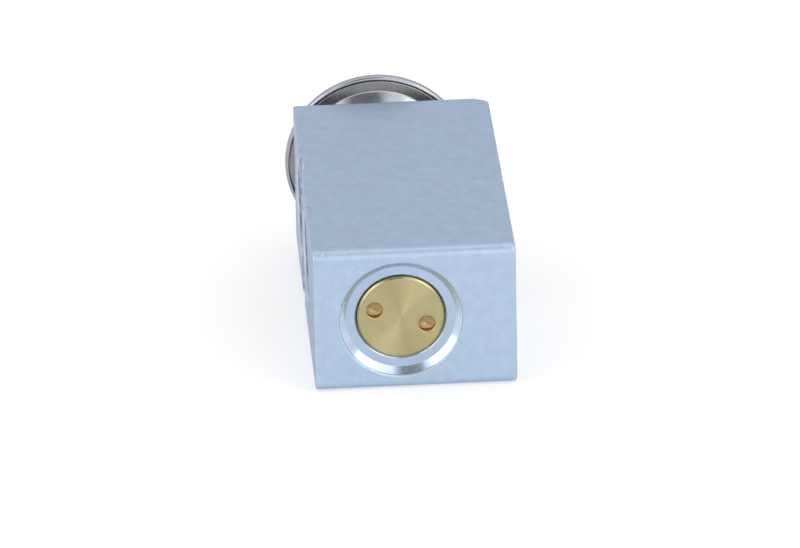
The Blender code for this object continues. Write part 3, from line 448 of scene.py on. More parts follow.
@dataclass(frozen=True)
class Thread:
    """A right-hand thread, cut inwards from a turned surface.

    Every thread takes its angle from the same zero, so a screw meshes with its bore where both
    have one pitch, and the surface follows along - pitch * turns about the axis. At each end it
    fades out over a share of the pitch.
    """

    start: float
    end: float
    radius: float
    pitch: float = 1.0
    depth: float = 0.5
    rows_per_pitch: int = 10
    fades: tuple[float, float] = (0.5, 0.5)

    def rows(self) -> list[float]:
        """The places of the mesh rows that the thread needs."""
        count = ceil((self.end - self.start) / self.pitch * self.rows_per_pitch)
        return [self.start + (self.end - self.start) * i / count for i in range(count + 1)]

    def relief(self, along: float, turns: float) -> float:
        """How far the surface is cut in at a point.

        Args:
            along: The place along the axis.
            turns: The angle about the axis, in turns.

        Returns:
            The depth in millimetres.
        """
        phase = (along / self.pitch - turns) % 1.0
        groove = min(max((abs(phase - 0.5) * 2 - 0.125) / 0.75, 0.0), 1.0)
        gaps = zip((along - self.start, self.end - along), self.fades)
        shares = [gap / (fade * self.pitch) if fade else 1.0 for gap, fade in gaps]
        return self.depth * groove * min(max(min(shares), 0.0), 1.0)


def rounded(corners: Sequence[Corner], ring: bool) -> list[Corner]:
    """Replaces each corner that has a rounding with an arc.

    Args:
        corners: Radius, place, rounding and finish number of each corner. The last two may be
            left out. The finish number holds for the surface that starts at the corner.
        ring: Whether the last corner joins the first.

    Returns:
        Radius, place and finish number of each point.
    """
    full = [(*corner, *(0.0, 0)[len(corner) - 2 :]) for corner in corners]
    made: list[Corner] = []
    for index, (radius, along, ease, number) in enumerate(full):
        here = Vector((radius, along))
        before, after = full[index - 1], full[(index + 1) % len(full)]
        inner = ring or 0 < index < len(full) - 1
        if ease <= 0 or not inner:
            made.append((radius, along, number))
            continue
        back, ahead = Vector(before[:2]) - here, Vector(after[:2]) - here
        corner_angle = back.angle(ahead)
        reach = min(ease / tan(corner_angle / 2), 0.48 * back.length, 0.48 * ahead.length)
        ease = reach * tan(corner_angle / 2)
        back.normalize()
        ahead.normalize()
        centre = here + (back + ahead).normalized() * (ease / sin(corner_angle / 2))
        sweep = pi - corner_angle
        steps = max(2, ceil(sweep / radians(18)))
        first = here + back * reach - centre
        side = 1 if back.x * ahead.y - back.y * ahead.x < 0 else -1
        for step in range(steps + 1):
            turn = side * sweep * step / steps
            out, up = cos(turn), sin(turn)
            spoke = Vector((first.x * out - first.y * up, first.x * up + first.y * out))
            made.append((*(centre + spoke), number if step else before[3]))
    return made


def arc(
    centre: tuple[float, float], radius: float, start: float, end: float, steps: int
) -> list[Corner]:
    """Points of an arc in the half section, by degrees from outwards towards the head."""
    turns = [radians(start + (end - start) * i / steps) for i in range(steps + 1)]
    return [(centre[0] + radius * cos(t), centre[1] + radius * sin(t)) for t in turns]


def lathe(
    corners: Sequence[Corner],
    segments: int = 96,
    threads: Iterable[Thread] = (),
    sweep: float = 360.0,
) -> bpy.types.Mesh:
    """Turns a half section about the valve axis.

    Args:
        corners: The section's corners, as rounded() takes them. A section that starts on the
            axis ends on it too, and any other one is a closed ring.
        segments: Facets round the sweep.
        threads: Threads on its cylindrical surfaces.
        sweep: Degrees that the piece goes round. Less than 360 leaves a slit.

    Returns:
        The mesh, in metres.
    """
    ring = corners[0][0] > 1e-6
    points = rounded(corners, ring)
    if ring:
        points.append(points[0])
    profile: list[Corner] = []
    for first, second in zip(points, points[1:]):
        profile.append(first)
        for thread in threads:
            on_it = all(abs(p[0] - thread.radius) < 1e-6 for p in (first, second))
            if on_it and abs(first[1] - second[1]) > thread.pitch:
                rows = thread.rows()
                rows = rows if second[1] > first[1] else rows[::-1]
                profile += [(thread.radius, row, first[2]) for row in rows]
    if not ring:
        profile.append(points[-1])
    whole = sweep >= 360
    columns = segments if whole else segments + 1
    vertices: list[tuple[float, float, float]] = []
    starts: list[tuple[int, int]] = []
    for radius, along, _ in profile:
        count = columns if radius > 1e-6 else 1
        starts.append((len(vertices), count))
        for column in range(count):
            turns = sweep / 360 * column / segments
            cut = sum(
                t.relief(along, turns)
                for t in threads
                if abs(radius - t.radius) < 1e-6 and t.start <= along <= t.end
            )
            angle = tau * turns
            vertices.append(((radius - cut) * sin(angle), along, (radius - cut) * cos(angle)))
    pairs = list(zip(range(len(profile)), range(1, len(profile))))
    if ring:
        pairs.append((len(profile) - 1, 0))
    faces: list[tuple[int, ...]] = []
    numbers: list[int] = []
    for lower, upper in pairs:
        (start_a, count_a), (start_b, count_b) = starts[lower], starts[upper]
        for column in range(segments):
            after = (column + 1) % columns
            a = [start_a + column, start_a + after] if count_a > 1 else [start_a]
            b = [start_b + after, start_b + column] if count_b > 1 else [start_b]
            if len(a) + len(b) > 2:
                faces.append(tuple(a + b))
                numbers.append(int(profile[lower][2]))
    if not whole:
        for column in (0, segments):
            faces.append(tuple(start + column for start, _ in starts))
            numbers.append(0)
    return mesh_from(vertices, faces, numbers)


def mesh_from(
    vertices: Sequence[Sequence[float]],
    faces: Sequence[Sequence[int]],
    numbers: Sequence[int] = (),
) -> bpy.types.Mesh:
    """Makes a closed mesh with its faces looking outwards.

    Args:
        vertices: Points in millimetres.
        faces: Corner numbers of each face.
        numbers: Finish number of each face.

    Returns:
        The mesh, in metres.
    """
    mesh = bpy.data.meshes.new("shape")
    mesh.from_pydata([Vector(v) * MM for v in vertices], [], faces)
    if numbers:
        mesh.polygons.foreach_set("material_index", numbers)
    settle(mesh)
    return mesh


def settle(mesh: bpy.types.Mesh) -> None:
    """Turns a mesh's faces outwards and shades it smooth between its sharp edges.

    Args:
        mesh: The mesh.
    """
    bm = bmesh.new()
    bm.from_mesh(mesh)
    bmesh.ops.remove_doubles(bm, verts=bm.verts, dist=1e-8)
    bmesh.ops.recalc_face_normals(bm, faces=bm.faces)
    bm.to_mesh(mesh)
    bm.free()
    shade(mesh)


def shade(mesh: bpy.types.Mesh) -> None:
    """Shades a mesh smooth between its sharp edges."""
    mesh.shade_smooth()
    mesh.set_sharp_from_angle(angle=SHARP)


def mesh_of(bm: bmesh.types.BMesh) -> bpy.types.Mesh:
    """Ends the making of a shape.

    Args:
        bm: The shape, which is freed.

    Returns:
        Its settled mesh.
    """
    mesh = bpy.data.meshes.new("shape")
    bm.to_mesh(mesh)
    bm.free()
    settle(mesh)
    return mesh


def loose(
    name: str, mesh: bpy.types.Mesh, materials: Sequence[bpy.types.Material]
) -> bpy.types.Object:
    """Wraps a mesh as an object of the scene.

    Args:
        name: The object's name.
        mesh: Its mesh.
        materials: Its materials, by finish number.

    Returns:
        The object.
    """
    mesh.name = name
    for material in materials:
        mesh.materials.append(material)
    made = bpy.data.objects.new(name, mesh)
    bpy.context.scene.collection.objects.link(made)
    return made


def carve(piece: bpy.types.Object, cutters: Sequence[bpy.types.Object]) -> None:
    """Cuts bodies out of a piece and throws them away.

    Args:
        piece: The piece that is cut.
        cutters: The cutting bodies. Their finishes stay on the cut surfaces.
    """
    for tool in cutters:
        cut = piece.modifiers.new(tool.name, "BOOLEAN")
        cut.operation, cut.solver, cut.object = "DIFFERENCE", "EXACT", tool
        cut.material_mode = "TRANSFER"
    bpy.context.view_layer.update()
    evaluated = piece.evaluated_get(bpy.context.evaluated_depsgraph_get())
    mesh = bpy.data.meshes.new_from_object(evaluated)
    piece.modifiers.clear()
    piece.data = mesh
    for tool in cutters:
        bpy.data.objects.remove(tool)
    shade(mesh)


@dataclass
class SubAssembly:
    """Pieces of the valve that are made and fitted together."""

    origin: Vector

    def fit(
        self,
        name: str,
        mesh: bpy.types.Mesh,
        node: str,
        slot: Slot,
        *finishes: Metal | Moulded,
        tools: Sequence[bpy.types.Object] = (),
    ) -> bpy.types.Object:
        """Stands a piece on the valve axis in place of its solid, on the same body.

        Args:
            name: The piece's name.
            mesh: Its mesh, measured from where the valve axis crosses the screw end.
            node: The solid that it stands for.
            slot: The record's slot, handed on to dress().
            finishes: Its finishes, by finish number.
            tools: Bodies that are cut out of it first.

        Returns:
            The fitted piece.
        """
        piece = loose(name, mesh, [material(finish) for finish in finishes])
        if tools:
            carve(piece, tools)
        self.dress(piece, node, slot)
        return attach(piece, frame["nodes"][node]["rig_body"])

    def tool(
        self,
        name: str,
        mesh: bpy.types.Mesh,
        *finishes: Metal | Moulded,
        place: Sequence[float] = (0, 0, 0),
        turn: float = 0.0,
        roll: float = 0.0,
    ) -> bpy.types.Object:
        """A cutting body.

        Args:
            name: Its name.
            mesh: Its mesh, turned about +Y.
            finishes: What it leaves on the cut surfaces, by finish number.
            place: Where its origin goes.
            turn: Degrees that it is turned about +Z.
            roll: Degrees that it is rolled about its own axis first.

        Returns:
            The cutting body.
        """
        made = loose(name, mesh, [material(finish) for finish in finishes])
        turned = Matrix.Rotation(radians(turn), 4, "Z") @ Matrix.Rotation(radians(roll), 4, "Y")
        made.matrix_world = Matrix.Translation(Vector(place) * MM) @ turned
        return made

    def dress(self, piece: bpy.types.Object, node: str, slot: Slot) -> None:
        """Places the piece, evens its shading and hides its solid.

        Args:
            piece: The piece.
            node: The solid that it stands for.
            slot: The record's slot. Not used.
        """
        piece.location = self.origin
        even = piece.modifiers.new("even_shading", "WEIGHTED_NORMAL")
        even.keep_sharp, even.weight = True, 50
        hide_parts(node)
        log.info("%s: %d faces, for %s", piece.name, len(piece.data.polygons), node)


@dataclass
class ValveBlock(SubAssembly):
    """The aluminium block: a bar cut to length, with every passage and hole in it."""

    left: float = 16.3
    right: float = 21.7
    length: float = 70.1
    height: float = 28.6
    bar_round: float = 1.75
    left_break: float = 0.35
    right_break: float = 0.6
    corner_cut: tuple[float, float] = (4.9, 3.05)
    recess_rim: float = 11.65
    recess_step: tuple[float, float] = (0.1, 0.4)
    recess_floor: float = 10.35
    recess_depth: float = 1.5
    lead_in: float = 0.4
    screw_bore: float = 8.3
    screw_bore_end: float = 9.45
    seal_bore: float = 7.5
    seal_bore_end: float = 14.85
    chamber: float = 6.3
    chamber_end: float = 22.55
    thread_start: float = 3.6
    steps: tuple[Step, ...] = (
        Step(4.0, 24.35, 0.06, 0.06),  # pocket of the seat ring
        Step(2.1, 30.0, 0.06, 0.0),  # liquid's way past the push rod
        Step(1.4, 38.2, 0.0, 0.05),  # guide of the push rod
        Step(2.9, 40.0, 0.06, 0.06),  # foot of the sensing rod
        Step(5.0, 52.6, 0.15, 0.0),  # pocket of the rod's seal
        Step(4.4, 61.8, 0.0, 0.1),  # sensing rod's way to the head
        Step(9.3, 68.25, 0.15, 0.1),  # threaded socket of the head
    )
    socket_thread: tuple[float, float] = (62.2, 67.9)
    seal_ledge: float = 11.4
    inlet: tuple[float, float, float, float] = (18.75, 3.5, 6.8, 6.0)
    outlet: tuple[float, float, float, float] = (30.0, 4.2, 8.4, 5.5)
    suction: tuple[float, float, float, float] = (52.6, 8.0, 9.0, 5.0)
    bolt_place: float = 41.6
    bolt_offset: float = 9.9
    bolt_hole: float = 3.3
    spot_face: tuple[float, float] = (5.1, 0.5)
    stud_place: float = 36.0
    stud_hole: float = 3.4
    stud_depth: float = 13.0
    mouth_ease: float = 0.12
    roll: float = 1.9
    past: float = 1.0
    skim: float = 0.004

    def build(self) -> None:
        """Makes, cuts and fits the block."""
        tools = [self.axial_bore(), *self.ports(), *self.fastenings(), self.corner()]
        tools += [self.dents(), self.pit()]
        self.fit(
            "machined_block", self.bar(), "valve_block", Slot.ALUMINIUM, BAR_SKIN, tools=tools
        )

    def bar(self) -> bpy.types.Mesh:
        """The bar with rounded edges across, and lightly broken ones round its port faces."""
        bm = bmesh.new()
        bmesh.ops.create_cube(bm, size=1.0)
        size = Vector((self.left + self.right, self.length, self.height)) * MM
        middle = Vector((self.right - self.left, self.length, 0)) / 2 * MM
        for corner in bm.verts:
            corner.co = Vector(c * s for c, s in zip(corner.co, size)) + middle
        across = [e for e in bm.edges if abs(e.verts[0].co.x - e.verts[1].co.x) > MM]
        self.ease(bm, across, self.bar_round, 10)
        for face_x, width in ((-self.left, self.left_break), (self.right, self.right_break)):
            rim = [
                e for e in bm.edges if all(abs(v.co.x - face_x * MM) < 1e-5 for v in e.verts)
            ]
            self.ease(bm, rim, width, 4)
        return mesh_of(bm)

    def ease(self, bm: bmesh.types.BMesh, edges: list[Any], width: float, steps: int) -> None:
        """Rounds edges of the bar to a width, with so many facets across."""
        bmesh.ops.bevel(
            bm, geom=edges, offset=width * MM, offset_type="OFFSET",
            segments=steps, profile=0.5, affect="EDGES",
        )

    def axial_bore(self) -> bpy.types.Object:
        """The stepped bore along the whole valve axis, threaded for the screw and the head."""
        ease, skim, end = self.mouth_ease, self.skim, self.length
        rim, wall, lead = self.recess_rim, self.screw_bore, self.lead_in
        reach = 0.25
        steps: list[Corner] = []
        near = self.chamber_end
        for radius, far, near_round, far_round in self.steps:
            steps += [(radius, near, near_round, 1), (radius, far, far_round, 1)]
            near = far
        steps.append((self.seal_ledge, near, 0.15, 1))
        corners: list[Corner] = [
            (0, -self.past), (rim + 0.4 + reach, -self.past), (rim + 0.4 + reach, skim),
            (rim + 0.4, skim, 0.3, 0), (rim, 0.1, 0.15, 2),
            (rim - self.recess_step[0], self.recess_step[1], 0.08, 2),
            (self.recess_floor, self.recess_depth, 0.1, 3),
            (wall + lead, self.recess_depth, 0.03, 2), (wall, self.recess_depth + lead, 0.0, 1),
            (wall, self.screw_bore_end - lead, 0.0, 1),
            (self.seal_bore, self.screw_bore_end, 0.05, 1),
            (self.seal_bore, self.seal_bore_end, 0.1, 1),
            (self.chamber, self.seal_bore_end, 0.1, 1), (self.chamber, self.chamber_end, 0.2, 1),
            *steps,
            (self.seal_ledge, end - skim, ease, 0), (self.seal_ledge + reach, end - skim, 0.0, 0),
            (self.seal_ledge + reach, end + self.past, 0.0, 0), (0, end + self.past),
        ]
        socket = self.steps[-1]
        threads = (
            Thread(self.thread_start, self.screw_bore_end - 0.5, wall),
            Thread(*self.socket_thread, socket.radius),
        )
        mesh = lathe(corners, 96, threads)
        return self.tool("axial_bore_tool", mesh, BAR_SKIN, BORED, CONE, RECESS_FLOOR)

    def mouth(self, radius: float, face: float, chamfer: float = 0.3) -> list[Corner]:
        """The chamfered mouth of a bore that opens outwards.

        Args:
            radius: The bore's radius.
            face: The place of the face that it opens in.
            chamfer: The chamfer's width.

        Returns:
            The corners from the bore's wall to past the face, and back to the axis.
        """
        outer = radius + chamfer
        return [
            (radius, face - chamfer, 0.08, 1), (outer, face - self.skim, 0.08, 0),
            (outer + 0.2, face - self.skim, 0.0, 0), (outer + 0.2, face + self.past, 0.0, 0),
            (0, face + self.past),
        ]

    def counterbored(self, sizes: Sequence[float], face: float) -> list[Corner]:
        """The outer end of a bore, with a counterbore for the pipe end.

        Args:
            sizes: The bore's place, radius, counterbore radius and counterbore depth.
            face: How far its face is from the valve axis.

        Returns:
            The corners from the bore's wall to past the face, and back to the axis.
        """
        _, bore, counterbore, depth = sizes
        floor = face - depth
        return [
            (bore, floor - 0.35, 0.05, 1), (bore + 0.35, floor, 0.05, 1),
            (counterbore, floor, 0.3, 1), *self.mouth(counterbore, face),
        ]

    def bored(self, name: str, place: Sequence[float], **changes: Any) -> Metal:
        """The finish of a hole across the block, with its marks round the hole's own axis."""
        return replace(BORED, name=name, axis=Axis.ACROSS, centre=tuple(place), **changes)

    def cross_bore(self, name: str, corners: Sequence[Corner], along: float, turn: float) -> Any:
        """The cutting body of a bore across the block.

        Args:
            name: The bore's name.
            corners: Its half section.
            along: Its place along the valve axis.
            turn: Degrees about +Z from +Y to its direction.

        Returns:
            The cutting body.
        """
        place = (0.0, along, 0.0)
        skins = (BAR_SKIN, self.bored(f"bored_{name}", place))
        mesh = lathe(corners, 96)
        return self.tool(f"{name}_tool", mesh, *skins, place=place, turn=turn, roll=self.roll)

    def ports(self) -> list[bpy.types.Object]:
        """Inlet from the right, outlet to the left, and the suction passage from both sides."""
        made = []
        drilled = (("inlet", self.inlet, self.right, -90), ("outlet", self.outlet, self.left, 90))
        for name, sizes, face, turn in drilled:
            place, bore = sizes[:2]
            start: list[Corner] = [(0, -0.45 - bore * 0.6, 0.0, 1), (bore, -0.45, 0.0, 1)]
            made.append(
                self.cross_bore(name, [*start, *self.counterbored(sizes, face)], place, turn)
            )
        left = [
            (corner[0], -corner[1], corner[2] if len(corner) > 2 else 0.0, 1)
            for corner in reversed(self.counterbored(self.suction, self.left))
        ]
        through = [*left, *self.counterbored(self.suction, self.right)]
        made.append(self.cross_bore("suction", through, self.suction[0], -90))
        return made

    def fastenings(self) -> list[bpy.types.Object]:
        """Two bolt holes through the block with a spot face each, and the threaded stud hole."""
        radius, (spot, sunk) = self.bolt_hole, self.spot_face
        bolt: list[Corner] = [
            (0, -self.left - self.past), (spot, -self.left - self.past, 0.0, 1),
            (spot, sunk - self.left, 0.12, 1), (radius + 0.15, sunk - self.left, 0.04, 1),
            (radius, sunk - self.left + 0.15, 0.04, 1), *self.mouth(radius, self.right),
        ]
        made = []
        for side, sign in (("upper", 1), ("lower", -1)):
            place = (0, self.bolt_place, sign * self.bolt_offset)
            name = f"drilled_{side}_hole"
            skin = self.bored(name, place, smooth=0.3, rough=0.38, anisotropy=0.4)
            mesh = lathe(bolt, 48)
            made.append(
                self.tool(f"{side}_bolt_tool", mesh, BAR_SKIN, skin, place=place, turn=-90)
            )
        root, floor = self.stud_hole + 0.55, self.right - self.stud_depth
        stud: list[Corner] = [
            (0, floor - 2.04, 0.0, 1), (self.stud_hole, floor, 0.0, 1),
            (self.stud_hole, floor + 0.8, 0.0, 1), (root, floor + 1.2, 0.0, 1),
            *self.mouth(root, self.right, 0.2),
        ]
        thread = Thread(floor + 1.3, self.right - 0.3, root, 1.25, 0.55, 8)
        place = (0, self.stud_place, 0)
        skin = self.bored("tapped_hole", place, smooth=0.3, rough=0.38, rings=0.4, anisotropy=0.0)
        mesh = lathe(stud, 48, (thread,))
        made.append(self.tool("stud_tool", mesh, BAR_SKIN, skin, place=place, turn=-90))
        return made

    def corner(self) -> bpy.types.Object:
        """A bar that takes off the edge between the right face and the head end."""
        width, run = self.corner_cut
        slope = run / width
        past = self.past
        outline = [
            (self.right - width - past, self.length + slope * past),
            (self.right + past, self.length - run - slope * past),
            (self.right + past, self.length + slope * past),
        ]
        half = self.height / 2 + past
        vertices = [(x, y, z) for z in (-half, half) for x, y in outline]
        faces = [(0, 1, 2), (3, 4, 5), (0, 1, 4, 3), (1, 2, 5, 4), (2, 0, 3, 5)]
        return self.tool("corner_tool", mesh_from(vertices, faces), BAR_SKIN)

    def dents(self) -> bpy.types.Object:
        """Small knocks in the block's edges, most of them near the screw end's upper left."""
        chance = random.Random(7)
        half, end = self.height / 2, self.length
        ease = self.bar_round * (1 - sqrt(0.5))
        spots = [
            (-14.4, ease, half - ease), (-13.1, 0.3, half - 0.8), (-10.2, ease, half - ease),
            (-9.1, 0.8, half - 0.3), (3.0, end - ease, half - ease), (-15.9, 21.0, half - 0.2),
            (-15.95, 47.5, half - 0.3), (11.5, ease, ease - half), (-4.0, end - ease, ease - half),
            (21.4, 30.5, half - 0.35), (21.35, 8.5, -half + 0.4),
        ]
        vertices: list[Vector] = []
        faces: list[list[int]] = []
        for spot in spots:
            bm = bmesh.new()
            bmesh.ops.create_icosphere(bm, subdivisions=3, radius=1.0)
            reach = Vector([chance.uniform(0.22, 0.42) for _ in range(3)])
            out = Vector((0, spot[1] - end / 2, spot[2]))
            out = Vector((0, -1 if out.y < 0 else 1, 0)) + Vector((0, 0, 1 if out.z > 0 else -1))
            if abs(spot[0]) > 15.5:
                out = Vector((spot[0], 0, 20 * spot[2] / abs(spot[2])))
            centre = Vector(spot) + out.normalized() * (min(reach) - chance.uniform(0.03, 0.07))
            start = len(vertices)
            vertices += [centre + v.co * reach for v in bm.verts]
            faces += [[start + v.index for v in f.verts] for f in bm.faces]
            bm.free()
        return self.tool("dent_tool", mesh_from(vertices, faces), BAR_SKIN)

    def pit(self) -> bpy.types.Object:
        """A tiny pit in the recess's rim, its walls coloured near-black as painted shade."""
        deep: list[Corner] = [(0, -0.5), (0.22, -0.5), (0.2, 0.3, 0.05), (0, 0.5)]
        place = (-self.recess_rim * 0.945, 0, self.recess_rim * 0.305)
        return self.tool("pit_tool", lathe(deep, 12), PIT_SHADE, place=place)


@dataclass
class ScrewSet(SubAssembly):
    """The brass adjusting screw and its O-ring."""

    face: float = 1.2
    thread_end: float = 7.65
    thread_radius: float = 8.2
    land: float = 7.2
    groove: tuple[float, float, float] = (9.65, 11.85, 5.75)
    end: float = 13.05
    cup: tuple[float, float] = (4.75, 6.45)
    plain: float = 0.65
    run_out: float = 0.3
    bevel: float = 0.28
    hole: float = 1.65
    hole_depth: float = 1.35
    hole_place: float = 5.15
    hole_angle: float = -18.0

    def build(self) -> None:
        """Makes and fits the screw and its ring."""
        self.build_screw()
        start, stop, root = self.groove
        inner, outer = root + 0.2, 7.5 - 0.2
        ring = arc(((inner + outer) / 2, (start + stop) / 2), (outer - inner) / 2, 0, 360, 20)[:-1]
        self.fit("screw_oring", lathe(ring, 96), "adjusting_screw_oring", Slot.RUBBER, RUBBER)

    def build_screw(self) -> None:
        """The screw: bevelled face with two spanner holes, thread, ring groove and spring cup."""
        radius, bevel, land = self.thread_radius, self.bevel, self.land
        start, stop, root = self.groove
        cup, cup_floor = self.cup
        corners: list[Corner] = [
            (0, self.face), (radius - bevel, self.face, 0.06, 3),
            (radius, self.face + bevel, 0.0), (radius, self.thread_end - 0.3, 0.0),
            (land, self.thread_end, 0.1), (land, start, 0.1), (root, start, 0.15),
            (root, stop, 0.15), (land, stop, 0.1), (land, self.end - bevel, 0.1),
            (land - bevel, self.end, 0.1), (cup + bevel, self.end, 0.1),
            (cup, self.end - bevel, 0.1), (cup, cup_floor, 0.3), (0, cup_floor),
        ]
        thread_end = self.thread_end - self.run_out
        thread = Thread(self.face + self.plain, thread_end, radius, fades=(0.5, 0.0))
        brass = (BRASS, LIT_BRASS_HOLE, SHADED_BRASS_CONE, BRASS_EDGE)
        # The holes' walls take the painted-light brass (finish 1) and their cones the
        # painted-shade brass (finish 2).
        hole: list[Corner] = [
            (0, -1.0, 0.0, 0), (self.hole + 0.24, -1.0, 0.0, 0),
            (self.hole + 0.24, 0.003, 0.0, 0), (self.hole, 0.003, 0.1, 1),
            (self.hole, self.hole_depth, 0.08, 2), (0, self.hole_depth + self.hole * 0.6),
        ]
        turn = radians(self.hole_angle)
        tools = []
        for side in (self.hole_place, -self.hole_place):
            place = (side * cos(turn), self.face, side * sin(turn))
            tools.append(self.tool("spanner_hole_tool", lathe(hole, 48), *brass, place=place))
        mesh = lathe(corners, 128, (thread,))
        self.fit(
            "brass_adjusting_screw", mesh, "adjusting_screw", Slot.BRASS, *brass, tools=tools
        )


@dataclass
class SpringSet(SubAssembly):
    """Coil spring, ball support with its leaf ring, ball and seat."""

    spring_foot: float = 6.6
    spring_top: float = 16.79
    mean: float = 3.75
    wire: float = 0.6
    turns: float = 5.5
    closed_pitch: float = 1.3
    ball_place: float = 20.8145
    ball: float = 2.5
    cone_apex: float = 17.1375
    nose: float = 3.4
    flange: float = 4.9
    spigot: float = 2.7
    seat_face: float = 22.65
    seat_ring: float = 3.7
    orifice: float = 1.7
    leg_radius: float = 5.65

    def build(self) -> None:
        """Makes and fits the pieces under the seat."""
        self.build_spring()
        self.build_support()
        self.build_leaf_ring()
        ball = arc((0, self.ball_place), self.ball, -90, 90, 40)
        ball[0], ball[-1] = (0, ball[0][1]), (0, ball[-1][1])
        self.fit("steel_ball", lathe(ball, 64), "valve_ball", Slot.STEEL, STEEL)
        face, end = self.seat_face, self.seat_face + 1.4
        seat: list[Corner] = [
            (self.orifice + 0.8, face, 0.08), (self.seat_ring, face, 0.15),
            (self.seat_ring, end, 0.15), (self.orifice, end, 0.06),
            (self.orifice, face + 0.8, 0.03),
        ]
        self.fit("orifice_ring", lathe(seat, 72), "seat_ring", Slot.SHEET, ROLLED)

    def rise(self, turn: float) -> float:
        """Height of the wire's centre after some turns, with one closed turn at each end.

        Args:
            turn: The number of turns from the screw's end.

        Returns:
            The height above the first centre.
        """
        whole = self.spring_top - self.spring_foot - 2 * self.wire
        pitch = (whole - 2 * self.closed_pitch) / (self.turns - 2)
        if turn <= 1:
            return self.closed_pitch * turn
        if turn <= self.turns - 1:
            return self.closed_pitch + pitch * (turn - 1)
        return whole - self.closed_pitch * (self.turns - turn)

    def build_spring(self) -> None:
        """The compression spring with ground ends."""
        per_turn, sides = 48, 14
        steps = round(self.turns * per_turn)
        low, high = self.spring_foot, self.spring_top
        vertices: list[Vector] = []
        for step in range(steps + 1):
            angle = tau * step / per_turn
            out = Vector((cos(angle), 0, sin(angle)))
            centre = out * self.mean + Vector((0, low + self.wire + self.rise(step / per_turn), 0))
            for side in range(sides):
                around = tau * side / sides
                spot = centre + (out * cos(around) + Vector((0, sin(around), 0))) * self.wire
                spot.y = min(max(spot.y, low + 0.12), high - 0.12)
                vertices.append(spot)
        faces = [
            (s * sides + k, s * sides + (k + 1) % sides,
             (s + 1) * sides + (k + 1) % sides, (s + 1) * sides + k)
            for s in range(steps) for k in range(sides)
        ]
        faces.append(tuple(reversed(range(sides))))
        faces.append(tuple(range(steps * sides, (steps + 1) * sides)))
        mesh = mesh_from(vertices, faces)
        spring = loose("coil_spring", mesh, [material(WIRE)])
        self.dress(spring, "valve_spring", Slot.STEEL)
        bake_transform(spring)

    def build_support(self) -> None:
        """The turned support: ball cone in its nose, flange on the spring, spigot in the coil."""
        top = self.cone_apex + self.nose - 0.3
        flange_top = self.cone_apex + 1.0
        flange_foot = flange_top - 1.2
        corners: list[Corner] = [
            (0, self.cone_apex), (top - self.cone_apex, top, 0.08), (self.nose, top, 0.12),
            (self.nose, flange_top, 0.15), (self.flange, flange_top, 0.12),
            (self.flange, flange_foot, 0.12), (self.spigot, flange_foot, 0.15),
            (self.spigot, flange_foot - 1.9, 0.1), (self.spigot - 0.4, flange_foot - 2.3, 0.1),
            (0, flange_foot - 2.3),
        ]
        self.fit("ball_carrier", lathe(corners, 72), "ball_support", Slot.BRASS, BRASS)

    def build_leaf_ring(self) -> None:
        """The leaf ring, its four legs bent down along the chamber's wall."""
        inner, outer, legs, per_leg = self.nose + 0.2, self.flange - 0.15, 4, 12
        top = self.cone_apex + 1.0 + 0.15 + 0.125
        bend = (self.leg_radius - outer) / 2
        leg = arc((outer + bend, top - bend), bend, 75, 0, 5)
        leg += [(self.leg_radius, top - 2.2), (self.leg_radius - 0.12, top - 2.9)]
        count = legs * per_leg
        bm = bmesh.new()
        loops = []
        for radius in (inner, outer):
            angles = [tau * (index + 0.5) / count for index in range(count)]
            loops.append([
                bm.verts.new(Vector((radius * cos(a), top, radius * sin(a))) * MM) for a in angles
            ])
        for index in range(count):
            after = (index + 1) % count
            bm.faces.new((loops[0][index], loops[0][after], loops[1][after], loops[1][index]))
        for number in range(legs):
            first = number * per_leg + per_leg // 2 - 2
            chain = [loops[1][first + step] for step in range(4)]
            middle = tau * (first + 2) / count
            out = Vector((cos(middle), 0, sin(middle)))
            side = Vector((-sin(middle), 0, cos(middle)))
            for level, (radius, along) in enumerate(leg):
                width = 0.95 - 0.18 * max(level - 5, 0)
                following = [
                    bm.verts.new((out * radius + side * width * s + Vector((0, along, 0))) * MM)
                    for s in (-1, -0.33, 0.33, 1)
                ]
                for k in range(3):
                    bm.faces.new((chain[k], chain[k + 1], following[k + 1], following[k]))
                chain = following
        leaf = self.fit("damping_leaf", mesh_of(bm), "vibration_spring", Slot.SHEET, ROLLED)
        sheet = leaf.modifiers.new("sheet", "SOLIDIFY")
        sheet.thickness, sheet.offset, sheet.use_even_offset = 0.25 * MM, 0.0, True
        leaf.modifiers.move(1, 0)


